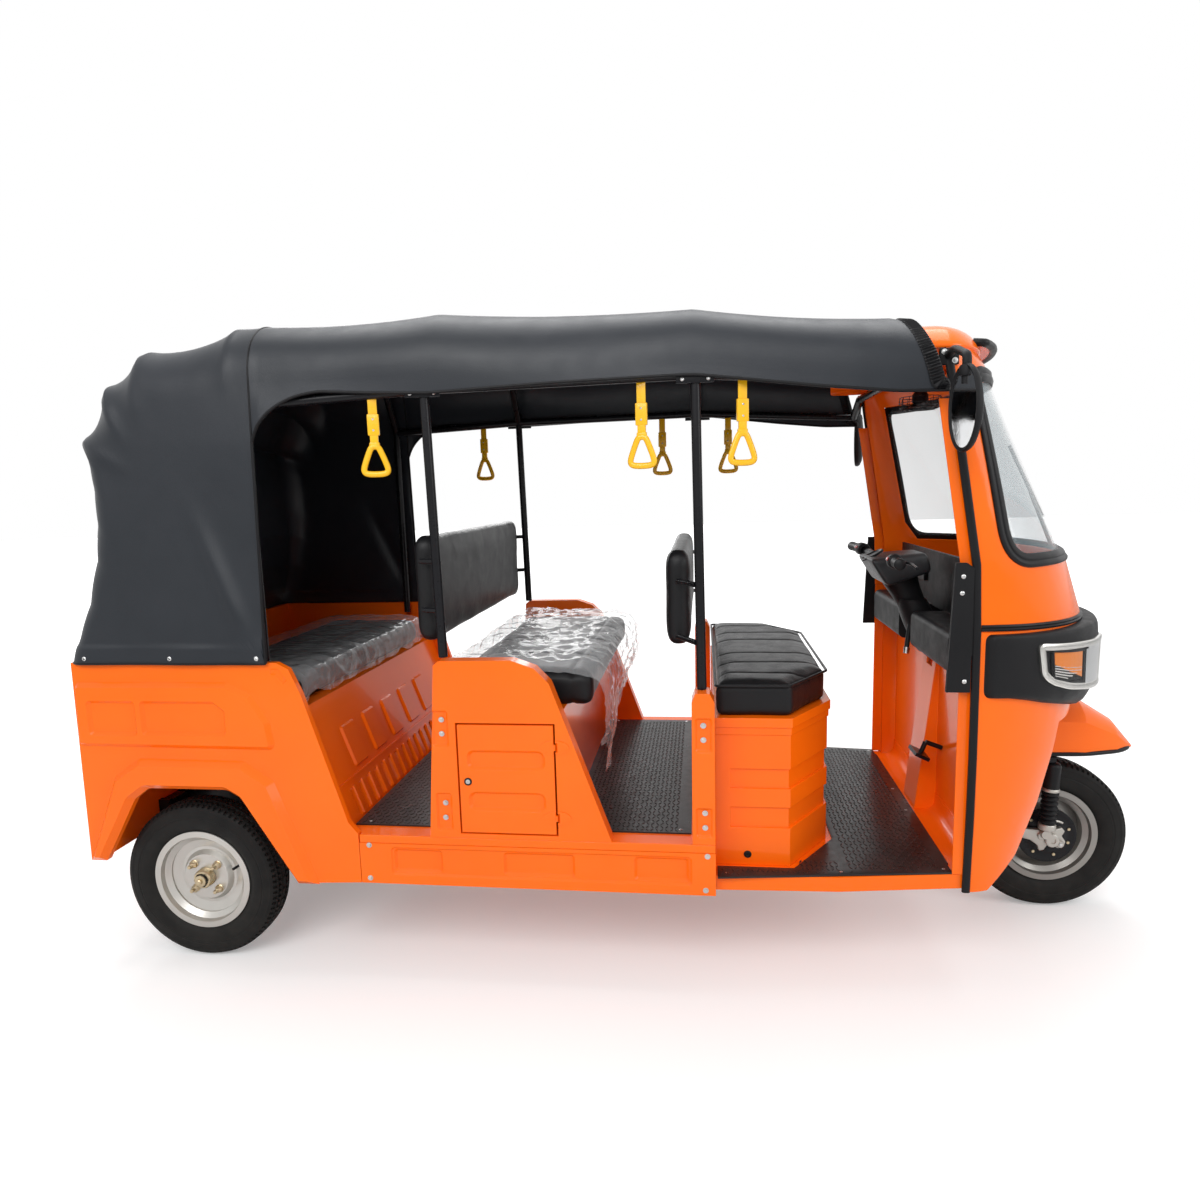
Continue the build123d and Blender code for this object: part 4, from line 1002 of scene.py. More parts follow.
def mats() -> None:
    """The passenger mat, the cab mat round the seat box, and their rivets."""
    x = AXLE_X
    ChequerMat("passenger_mat_studs", (x + 0.575, x + 1.620), 0.585, 0.4862,
               ((x + 0.865, x + 1.262, 0.625),)).build()
    outline = ((1.712, -0.640), (2.405, -0.560), (2.405, 0.560), (1.712, 0.640), (1.712, 0.566),
               (1.944, 0.566), (2.093, 0.345), (2.093, -0.345), (1.944, -0.566), (1.712, -0.566))
    mat = meshed("cab_mat", [(x + a, b, 0.3664) for a, b in outline], [list(range(len(outline)))])
    modified(mat, "SOLIDIFY", thickness=0.0060, offset=1.0)
    modified(mat, "BEVEL", width=0.001, segments=2)
    finished(mat, "cab_mat", MAT_RUBBER)
    edge = ((x + 1.712, 0.632), (x + 2.405, 0.552))
    ChequerMat("cab_mat_studs", (x + 2.105, x + 2.400), 0.585, 0.3723, (), edge).build()
    ChequerMat("cab_side_studs", (x + 1.72, x + 2.10), 0.625, 0.3723,
               ((x + 1.0, x + 1.96, 0.575), (x + 1.9, x + 2.2, 0.500)), edge).build()
    toe = grid("toe_board", [[Vector((x + a, -0.527 + 0.0527 * i, b)) for i in range(21)] for a, b in (
        (2.398, 0.3640), (2.425, 0.3645), (2.450, 0.3660), (2.472, 0.3720), (2.484, 0.3840), (2.4885, 0.4000),
        (2.4888, 0.4300))])
    modified(toe, "SOLIDIFY", thickness=0.0025, offset=0.0)
    finished(toe, "toe_board", ORANGE, smooth=50)
    rivets = [round_head((x + a, side * b, c), (0, 0, 1), 0.006, 0.002)
              for a, b, c in ((0.60, 0.57, 0.486), (0.84, 0.57, 0.486), (1.29, 0.57, 0.486),
                              (1.60, 0.57, 0.486), (1.74, 0.61, 0.371), (2.08, 0.58, 0.371),
                              (2.385, 0.54, 0.371), (2.385, 0.10, 0.371)) for side in SIDES]
    finished(rivets, "mat_rivets", ZINC)


# ---- grab handles -------------------------------------------------------------------------------
@dataclass
class GrabHandle:
    """A hanging strap over the rail with its buckle and moulded triangular grip."""

    x: float
    side: int
    twist: float
    rail_z: float = 1.838
    y: float = 0.604

    def build(self) -> Object:
        """Makes the strap, the buckle block, the neck and the ring.

        Returns:
            The handle, not yet dressed.
        """
        parts = [block((0, 0, -0.052), (0.026, 0.0032, 0.104), 0.001, 3),
                 block((0, 0, -0.100), (0.034, 0.0115, 0.062), 0.0022, 3),
                 block((0, 0.0, -0.140), (0.024, 0.0085, 0.036), 0.002, 3)]
        corners = ((-0.0085, -0.163), (0.0085, -0.163), (0.016, -0.175), (0.034, -0.222), (0.0355, -0.236),
                   (0.027, -0.2435), (0, -0.245), (-0.027, -0.2435), (-0.0355, -0.236), (-0.034, -0.222),
                   (-0.016, -0.175))
        ring = tube("ring", [(a, 0, b) for a, b in corners], 0.0088, closed=True, turns=4)
        ring.data.transform(Matrix.Diagonal((1, 0.72, 1, 1)))
        parts.append(ring)
        parts.append(block((0, 0, -0.160), (0.030, 0.0105, 0.020), 0.004, 3))
        handle = joined("handle", parts)
        turn = Matrix.Rotation(math.radians(self.twist), 4, "Z")
        place = Matrix.Translation((self.x + AXLE_X, self.side * self.y, self.rail_z))
        handle.data.transform(place @ turn)
        return handle

    def rivets(self) -> list[Object]:
        """The two rivets through the buckle.

        Returns:
            The rivets, not yet dressed.
        """
        heads = []
        for z in (-0.084, -0.116):
            turn = Matrix.Rotation(math.radians(self.twist), 4, "Z")
            for way in (-1, 1):
                rail = Vector((self.x + AXLE_X, self.side * self.y, self.rail_z))
                spot = rail + turn @ Vector((0, way * 0.0057, z))
                heads.append(round_head(spot, turn @ Vector((0, way, 0)), 0.0032, 0.0016))
        return heads


# ---- nose, windscreen and trim ------------------------------------------------------------------
@dataclass(frozen=True)
class Shell:
    """The shield's outer form: half an ellipse in plan that changes with height."""

    rows: tuple[Four, ...] = (      # height, rear edge, half-width, depth
        (0.310, 2.440, 0.560, 0.290), (0.560, 2.440, 0.572, 0.395), (0.720, 2.440, 0.575, 0.440),
        (1.100, 2.438, 0.575, 0.468), (1.290, 2.432, 0.572, 0.410), (1.840, 2.345, 0.565, 0.222),
        (1.890, 2.338, 0.560, 0.190), (1.960, 2.325, 0.520, 0.190))

    def at(self, angle: float, z: float, out: float = 0.0) -> Vector:
        """A point on the form.

        Args:
            angle: Degrees from straight ahead, positive to the right.
            z: Height.
            out: How far outside the form.

        Returns:
            The point.
        """
        edge, half, depth = (along([(row[0], row[k]) for row in self.rows], z) for k in (1, 2, 3))
        turn = math.radians(angle)
        x, y = depth * math.cos(turn), -half * math.sin(turn)
        way = Vector((x / depth ** 2, y / half ** 2, 0)).normalized()
        return Vector((AXLE_X + edge + x, y, z)) + way * out

    def outward(self, angle: float, z: float) -> Vector:
        """The form's outward direction at a point.

        Args:
            angle: Degrees from straight ahead, positive to the right.
            z: Height.

        Returns:
            The direction.
        """
        here = self.at(angle, z)
        across = self.at(angle + 0.5, z) - self.at(angle - 0.5, z)
        upward = self.at(angle, z + 0.004) - self.at(angle, z - 0.004)
        way = across.cross(upward).normalized()
        return way if way.dot(self.at(angle, z, 0.01) - here) > 0 else -way


NOSE = Shell()


def band(name: str, path: Sequence[Vector], outward: Sequence[Vector], section: Sequence[Pair],
         closed: bool) -> Object:
    """A moulded strip that follows a path on a surface.

    Args:
        name: What the strip is called.
        path: Where it runs.
        outward: The surface's direction at each point.
        section: Its closed outline as (sideways, outwards) pairs.
        closed: Whether the path meets itself.

    Returns:
        The strip, faces outwards.
    """
    count = len(path)
    verts = []
    for i, (point, out) in enumerate(zip(path, outward)):
        after = path[(i + 1) % count] if closed or i < count - 1 else path[i]
        before = path[i - 1] if closed or i else path[i]
        way = (after - before).normalized()
        side = out.cross(way).normalized()
        verts += [point + side * a + out * b for a, b in section]
    ring = len(section)
    faces = [(i * ring + k, ((i + 1) % count) * ring + k, ((i + 1) % count) * ring + (k + 1) % ring,
              i * ring + (k + 1) % ring) for i in range(count if closed else count - 1) for k in range(ring)]
    if not closed:
        faces += [list(range(ring)), [(count - 1) * ring + k for k in range(ring)]]
    return merged(meshed(name, verts, faces), 0.00002, outwards=True)


def rounded_path(corners: Sequence[Four],
                 steps: int = 8) -> list[Pair]:
    """A closed path whose corners are rounded.

    Args:
        corners: (across, up, share of the side before, share of the side after) that the rounding takes.
        steps: Points on each corner.

    Returns:
        The points.
    """
    points = []
    for i, (x, y, back, on) in enumerate(corners):
        before, after = corners[i - 1], corners[(i + 1) % len(corners)]
        for step in range(steps + 1):
            t = step / steps
            ax, ay = x + (before[0] - x) * back * (1 - t), y + (before[1] - y) * back * (1 - t)
            bx, by = x + (after[0] - x) * on * t, y + (after[1] - y) * on * t
            points.append((ax + (bx - ax) * t, ay + (by - ay) * t))
    return points


def filled(loop: Sequence[Pair], across: float, up: float) -> list[Pair]:
    """A closed path with points added, so that no step is much longer than these two measures.

    Args:
        loop: The path.
        across: Longest step of the first measure.
        up: Longest step of the second.

    Returns:
        The path with its added points.
    """
    fine = []
    for (a0, z0), (a1, z1) in zip(loop, loop[1:] + loop[:1]):
        count = max(1, int(max(abs(a1 - a0) / across, abs(z1 - z0) / up)))
        fine += [(a0 + (a1 - a0) * i / count, z0 + (z1 - z0) * i / count) for i in range(count)]
    return fine


def turns_inwards(path: Sequence[Vector], out: Sequence[Vector], middle: Vector) -> bool:
    """Whether a strip's sideways direction points to the middle of the window it goes round.

    Args:
        path: Where the strip runs.
        out: The surface's direction at each point.
        middle: The window's middle.

    Returns:
        True where it points inwards.
    """
    index = len(path) // 3
    side = out[index].cross(path[index + 1] - path[index - 1])
    return side.dot(middle - path[index]) > 0


@dataclass
class NoseTrim:
    """Rubber round the windscreen, along the shield's edges, the belt, the visor and the mudguard."""

    window: tuple[Four, ...] = ((76.9, 1.294, 0.075, 0.20), (72.3, 1.824, 0.13, 0.06),
                                (-72.3, 1.824, 0.06, 0.13), (-76.9, 1.294, 0.20, 0.075))
    belt_z: float = 1.100
    visor: Four = (2.340, 0.545, 0.249, 1.909)

    def build(self) -> None:
        """Makes every strip."""
        self.gasket()
        self.edges()
        self.belt()
        self.visor_rim()
        self.mudguard_rim()
        self.liner()
        self.brake_pull()

    def brake_pull(self) -> None:
        """The parking brake's pull under the dash with its bright ferrule."""
        rod = tube("pull", [(AXLE_X + 2.425, -0.030, 1.070), (AXLE_X + 2.402, -0.032, 1.050),
                            (AXLE_X + 2.392, -0.040, 1.000), (AXLE_X + 2.384, -0.050, 0.940)], 0.0085)
        finished(rod, "brake_pull", PLASTIC, smooth=60)
        ferrule = tube("ferrule", [(AXLE_X + 2.3855, -0.048, 0.952), (AXLE_X + 2.383, -0.0515, 0.930)],
                       0.0105)
        finished(ferrule, "brake_pull_ferrule", ZINC, smooth=60)

    def liner(self) -> None:
        """Black lining on the shield's inside between the dash and the screen."""
        rows = [[NOSE.at(-86 + 4 * i, z, -0.009) for i in range(44)] for z in
                (1.0885, 1.10, 1.13, 1.16, 1.19, 1.22, 1.25, 1.27, 1.284)]
        lining = modified(grid("shield_lining", rows), "SOLIDIFY", thickness=0.003, offset=0.0)
        finished(lining, "shield_lining", PLASTIC, smooth=50)

    def gasket(self) -> None:
        """The wide rubber between screen and shield, its lips on both."""
        fine = filled(rounded_path(self.window, 10), 3.0, 0.03)
        path = [NOSE.at(a, z) for a, z in fine]
        out = [NOSE.outward(a, z) for a, z in fine]
        section = ((-0.017, -0.001), (-0.016, 0.0045), (-0.010, 0.0075), (-0.001, 0.0055), (0.002, 0.0035),
                   (0.006, 0.0055), (0.014, 0.0045), (0.024, -0.002), (0.0245, -0.0065), (0.010, -0.0068))
        sign = 1 if turns_inwards(path, out, NOSE.at(0, 1.56)) else -1
        strip = band("windscreen_gasket", path, out, [(a * sign, b) for a, b in section], True)
        finished(strip, "windscreen_gasket", TRIM_RUBBER, smooth=50)

    def edges(self) -> None:
        """The black channel down each rear edge of the shield."""
        heights = [0.312 + 0.0245 * i for i in range(63)] + [1.868]
        path = [NOSE.at(90, z, 0.0015) + Vector((0.002, 0, 0)) for z in heights]
        out = [Vector((0, -1, 0)) for _ in heights]
        section = ((-0.012, -0.002), (-0.012, 0.0035), (-0.007, 0.006), (0.006, 0.006), (0.010, 0.003),
                   (0.010, -0.002))
        strip = band("shield_edging", path, out, section, False)
        finished(strip, "shield_edging", TRIM_RUBBER, smooth=50, mirror=True)
        plate = block((AXLE_X + 2.421, -0.5765, 1.115), (0.036, 0.007, 0.165), 0.002)
        finished(plate, "jamb_plates", PLASTIC, mirror=True)
        heads = [round_head((AXLE_X + x, -0.5905, z), (0, -1, 0), 0.0065, 0.003)
                 for x, z in ((2.396, 1.262), (2.394, 1.215), (2.408, 0.962))]
        finished(heads, "edge_plate_screws", ZINC, mirror=True)

    def belt(self) -> None:
        """The bead between the upper and the lower shield."""
        spots = [-88 + 4 * i for i in range(45)]
        path = [NOSE.at(a, self.belt_z - 0.012 * math.cos(math.radians(a)) ** 2 + 0.012) for a in spots]
        out = [NOSE.outward(a, self.belt_z) for a in spots]
        section = ((-0.010, -0.003), (-0.009, 0.003), (-0.004, 0.005), (0.0, 0.002), (0.004, 0.005),
                   (0.009, 0.003), (0.010, -0.003))
        finished(band("belt_bead", path, out, section, False), "belt_bead", TRIM_RUBBER, smooth=50)

    def visor_rim(self) -> None:
        """Thick rubber round the visor's front edge."""
        edge, half, depth, z = self.visor
        points = []
        for i in range(31):
            turn = math.radians(-60 + 4 * i)
            points.append((AXLE_X + edge + depth * math.cos(turn), -half * math.sin(turn), z))
        ends = [(AXLE_X + edge + 0.180 * 0.5 + 0.01, s * 0.5305 * 0.866, z + 0.004) for s in (1, -1)]
        rim = tube("visor_rim", [ends[0]] + points + [ends[1]], 0.0115, turns=3)
        finished(rim, "visor_rim", TRIM_RUBBER, smooth=60)

    def mudguard_rim(self) -> None:
        """The bead along the mudguard's hem."""
        rows = ((2.722, 0.118), (2.85, 0.122), (2.96, 0.118), (3.02, 0.099), (3.08, 0.080), (3.12, 0.050),
                (3.142, 0.022))
        right = [(AXLE_X + x, -w, 0.593) for x, w in rows]
        path = right + [(AXLE_X + 3.1465, 0.0, 0.593)] + [(x, -y, z) for x, y, z in reversed(right)]
        rim = tube("mudguard_rim", path, 0.0075, turns=2)
        finished(rim, "mudguard_rim", TRIM_RUBBER, Body.STEERING, smooth=60)


@dataclass
class CabCap:
    """The pressed cap over the screen with its short peak."""

    form: Shell = Shell(((1.888, 2.338, 0.560, 0.190), (1.893, 2.337, 0.562, 0.203),
                         (1.900, 2.336, 0.560, 0.202), (1.930, 2.331, 0.534, 0.190),
                         (1.950, 2.327, 0.500, 0.170), (1.962, 2.324, 0.455, 0.142),
                         (1.970, 2.323, 0.395, 0.108), (1.975, 2.323, 0.300, 0.074),
                         (1.978, 2.323, 0.160, 0.036), (1.979, 2.323, 0.0002, 0.0002)))
    peak: Four = (2.340, 0.545, 0.249, 1.909)
    wall: float = 0.003

    def build(self) -> None:
        """Makes the cap with its peak."""
        rows = [[self.form.at(-90 + 4.5 * i, row[0]) for i in range(41)] for row in self.form.rows]
        back = Vector((-0.13, 0, 0))
        rows = [[row[0] + back, row[0] + back * 0.5] + row + [row[-1] + back * 0.5, row[-1] + back]
                for row in rows]
        cap = merged(grid("cap", rows), 0.001)
        modified(cap, "SOLIDIFY", thickness=self.wall, offset=-1.0)
        modified(cap, "SUBSURF", levels=1, render_levels=1)
        edge, half, depth, z = self.peak
        lines = []
        for share, drop in ((0.0, 0.004), (0.35, 0.002), (0.7, 0.0), (1.0, -0.001)):
            line = []
            for i in range(31):
                turn = math.radians(-60 + 4 * i)
                reach = (0.176 + (depth - 0.176) * share, 0.526 + (half - 0.526) * share)
                line.append((AXLE_X + edge + reach[0] * math.cos(turn), -reach[1] * math.sin(turn), z + drop))
            lines.append(line)
        peak = modified(grid("peak", lines), "SOLIDIFY", thickness=0.008, offset=0.0)
        finished([cap, peak], "cab_cap", ORANGE, replaces=("cab_roof",), smooth=40)


@dataclass
class Bezel:
    """The black moulding round the nose that carries the lamps, proud of the shield."""

    face: Shell = Shell(((0.800, 2.446, 0.580, 0.466), (0.880, 2.449, 0.590, 0.500),
                         (0.925, 2.450, 0.592, 0.512), (1.062, 2.450, 0.592, 0.512),
                         (1.100, 2.449, 0.590, 0.504)))
    top: float = 1.093
    end: float = 86.6
    corner: float = 0.022
    hem: tuple[Pair, ...] = ((0.0, 0.818), (25.0, 0.826), (42.0, 0.842), (52.0, 0.862), (62.0, 0.880),
                             (70.0, 0.896), (78.0, 0.907), (90.0, 0.911))

    def build(self) -> None:
        """Lays the moulding over the shield, its edges rolled down to it."""
        angles = [-self.end + 2 * self.end * i / 120 for i in range(121)]
        angles = sorted(angles + [s * (self.end - off) for s in (1, -1) for off in (0.25, 0.6, 1.0, 1.9)])
        rows = []
        for angle in angles:
            low, high = along(self.hem, abs(angle)), self.top
            gap = math.radians(self.end - abs(angle)) * 0.59
            if gap < self.corner:
                lift = self.corner - math.sqrt(max(0.0, self.corner ** 2 - (self.corner - gap) ** 2))
                low, high = low + lift, high - lift
            side = ease(gap / 0.007)
            profile = [(0.0, high + 0.001), (0.45, high), (0.80, high - 0.001), (0.94, high - 0.004),
                       (0.985, high - 0.010), (1.0, high - 0.019)]
            body_low = low + 0.046
            profile += [(1.0, high - 0.019 + (body_low - high + 0.019) * k / 7) for k in range(1, 8)]
            profile += [(0.99, low + 0.030), (0.93, low + 0.014), (0.70, low + 0.004), (0.35, low + 0.001),
                        (0.0, low)]
            row = []
            for share, z in profile:
                inner = NOSE.at(angle, min(z, 1.1), -0.001)
                outer = self.face.at(angle, z)
                row.append(inner.lerp(outer, share * side))
            rows.append(row)
        moulding = grid("nose_moulding", rows)
        merged(moulding, 0.0001, outwards=True)
        finished(moulding, "nose_moulding", PLASTIC, replaces=("headlamp_bezel",), smooth=38)


# ---- mirrors ------------------------------------------------------------------------------------
@dataclass
class DoorMirror:
    """An oval mirror on a moulded arm, glass towards the driver."""

    side: int
    centre: Point = (2.344, 0.708, 1.712)
    half_wide: float = 0.062
    half_high: float = 0.112
    toe: float = 16.0

    def build(self) -> None:
        """Makes the shell, the glass, the arm and its foot."""
        suffix = hand(self.side)
        shell = spun("shell", ((-0.001, 0.90), (-0.004, 0.93), (-0.005, 0.975), (-0.002, 1.0), (0.006, 1.005),
                               (0.014, 0.96), (0.022, 0.80), (0.026, 0.52), (0.027, 0.0)), (0, 0, 0),
                     (1, 0, 0), 40)
        glass = spun("glass", ((-0.0006, 0.0), (-0.0006, 0.91), (0.003, 0.91), (0.004, 0.0)), (0, 0, 0),
                     (1, 0, 0), 40)
        for piece in (shell, glass):
            piece.data.transform(Matrix.Diagonal((1, self.half_wide, self.half_high, 1)))
            self.place(piece)
        x, y, z = self.centre
        foot = Vector((AXLE_X + 2.345, self.side * 0.566, 1.862))
        top = Vector((AXLE_X + x + 0.004, self.side * y, z + 0.135))
        path = [foot, foot + Vector((-0.004, self.side * 0.05, 0.018)),
                top + Vector((0, -self.side * 0.035, 0.008)), top, top - Vector((0, 0, 0.035)),
                top - Vector((0, 0, 0.075))]
        arm = tube("arm", path, 0.0098, turns=3)
        oval = Matrix.Diagonal((1.25, 1, 1, 1))
        arm.data.transform(Matrix.Translation(top) @ oval @ Matrix.Translation(-top))
        collar = spun("collar", ((0, 0), (0, 0.018), (0.010, 0.020), (0.026, 0.016), (0.032, 0)),
                      top - Vector((0, 0, 0.055)), (0, 0, 1), 20)
        base = block(foot, (0.052, 0.010, 0.046), 0.004, 3)
        name = "mirror_shell_" + suffix
        finished([shell, arm, collar, base], name, PLASTIC, replaces=("mirrors",), smooth=45)
        finished(glass, "mirror_glass_" + suffix, CHROME, smooth=30)
        heads = [hex_head(foot + Vector((dx, self.side * 0.006, dz)), (0, self.side, 0), 0.008, 0.004)
                 for dx, dz in ((-0.014, 0.012), (0.014, -0.012))]
        finished(heads, "mirror_bolts_" + suffix, ZINC)

    def place(self, piece: Object) -> None:
        """Turns a part made at the origin and moves it to the mirror's middle.

        Args:
            piece: The part.
        """
        x, y, z = self.centre
        turn = Matrix.Rotation(math.radians(-self.side * self.toe), 4, "Z")
        piece.data.transform(Matrix.Translation((AXLE_X + x, self.side * y, z)) @ turn)


# ---- headlamps ----------------------------------------------------------------------------------
@dataclass
class Headlamp:
    """A lamp let into the moulding: bright surround, bowl, amber indicator, ribs and clear lens."""

    side: int
    form: Shell = Shell(((0.800, 2.450, 0.5965, 0.516), (1.100, 2.450, 0.598, 0.519)))
    inner: float = 21.5
    outer: float = 73.0
    top: tuple[Pair, ...] = ((20.0, 1.044), (50.0, 1.060), (70.0, 1.068))
    low: tuple[Pair, ...] = ((20.0, 0.868), (45.0, 0.893), (58.0, 0.914), (66.0, 0.938), (70.0, 0.968))

    def at(self, across: float, up: float, deep: float) -> Vector:
        """A point of the lamp.

        Args:
            across: 0 at the inner end, 1 at the outer.
            up: 0 at the bottom, 1 at the top.
            deep: How far behind the lens's face.

        Returns:
            The point.
        """
        angle = self.inner + (self.outer - 2.0 * (1 - up) - self.inner) * across
        z = along(self.low, angle) + (along(self.top, angle) - along(self.low, angle)) * up
        return self.form.at(-self.side * angle, z, -deep)

    def sheet(self, name: str, a: Pair, b: Pair, deep: Callable[[float, float], float],
              thick: float, steps: tuple[int, int] = (20, 10)) -> Object:
        """A curved plate over part of the lamp.

        Args:
            name: What it is called.
            a: From and to across the lamp.
            b: From and to up the lamp.
            deep: How deep it lies at a place of its own.
            thick: Its thickness.
            steps: Faces across and up.

        Returns:
            The plate.
        """
        wide, high = steps
        rows = [[self.at(a[0] + (a[1] - a[0]) * j / wide, b[0] + (b[1] - b[0]) * i / high,
                         deep(j / wide, i / high)) for j in range(wide + 1)] for i in range(high + 1)]
        return modified(grid(name, rows), "SOLIDIFY", thickness=thick, offset=0.0)

    def rim(self, name: str, edge: Four, section: Sequence[Pair],
            ) -> Object:
        """A closed moulding round a window of the lamp.

        Args:
            name: What it is called.
            edge: The window: from and to across, from and to up.
            section: The moulding's outline as (outwards from the window, depth) pairs.

        Returns:
            The rim.
        """
        a0, a1, b0, b1 = edge
        loop = rounded_path(((a0, b0, 0.14, 0.05), (a1, b0, 0.05, 0.14), (a1, b1, 0.14, 0.05),
                             (a0, b1, 0.05, 0.14)), 5)
        fine = filled(loop, 0.05, 0.12)
        path = [self.at(u, v, 0.0) for u, v in fine]
        out = [(self.at(u, v, -0.01) - self.at(u, v, 0.0)).normalized() for u, v in fine]
        sign = -1 if turns_inwards(path, out, self.at((a0 + a1) / 2, (b0 + b1) / 2, 0.0)) else 1
        return band(name, path, out, [(a * sign, -b) for a, b in section], True)

    def build(self) -> None:
        """Makes the lamp from the back forwards."""
        suffix = hand(self.side)
        bed = self.sheet("bed", (0.05, 0.95), (0.08, 0.92), lambda u, v: 0.006, 0.002)
        finished(bed, "headlamp_bed_" + suffix, TRIM_RUBBER, smooth=60)
        frame_ring = self.rim("ring", (0.03, 0.97, 0.06, 0.94),
                              ((-0.017, 0.004), (-0.016, -0.001), (-0.010, -0.0035), (-0.002, -0.0035),
                               (0.003, -0.001), (0.004, 0.005)))
        finished(frame_ring, "headlamp_ring_" + suffix, SATIN_CHROME, smooth=40)
        bowl = self.sheet("bowl", (0.08, 0.50), (0.12, 0.88),
                          lambda u, v: 0.0008 + 0.0040 * math.sin(math.pi * u) * math.sin(math.pi * v),
                          0.0012, (30, 16))
        finished(bowl, "headlamp_bowl_" + suffix, CHROME, smooth=60)
        inner_ring = self.rim("inner_ring", (0.56, 0.88, 0.19, 0.80),
                              ((-0.004, 0.004), (-0.004, -0.0016), (0.001, -0.0022), (0.003, 0.000),
                               (0.003, 0.004)))
        finished(inner_ring, "headlamp_inner_ring_" + suffix, PLASTIC, smooth=40)
        amber_top, slope = 0.77, 0.22
        wide, high = 10, 6
        drops = [slope * (1 - j / wide) for j in range(wide + 1)]
        rows = [[self.at(0.58 + 0.28 * j / wide, (0.50 - drop) + (amber_top - 0.50 + drop) * i / high, 0.0028)
                 for j, drop in enumerate(drops)] for i in range(high + 1)]
        amber = modified(grid("amber", rows), "SOLIDIFY", thickness=0.003, offset=0.0)
        finished(amber, "headlamp_indicator_" + suffix, AMBER, smooth=40)
        dark = self.sheet("dark", (0.555, 0.885), (0.19, 0.80), lambda u, v: 0.0042, 0.001)
        finished(dark, "headlamp_pocket_" + suffix, TRIM_RUBBER, smooth=60)
        ribs = [self.sheet("rib", (0.74 - 0.05 * k, 0.86), (0.235 + 0.055 * k, 0.258 + 0.055 * k),
                           lambda u, v: 0.0032 - 0.0014 * math.sin(math.pi * v), 0.0016, (8, 3))
                for k in range(5)]
        finished(ribs, "headlamp_ribs_" + suffix, SATIN_CHROME, smooth=60)
        blade = self.sheet("blade", (0.505, 0.535), (0.16, 0.80), lambda u, v: 0.001, 0.003, (3, 8))
        finished(blade, "headlamp_strip_" + suffix, CHROME, smooth=60)
        lens = self.sheet("lens", (0.02, 0.98), (0.05, 0.95),
                          lambda u, v: -0.0038 - 0.0012 * min(1.0, 12 * u * (1 - u)), 0.0012)
        finished(lens, "headlamp_lens_" + suffix, LENS, replaces=("headlamps",), smooth=40)


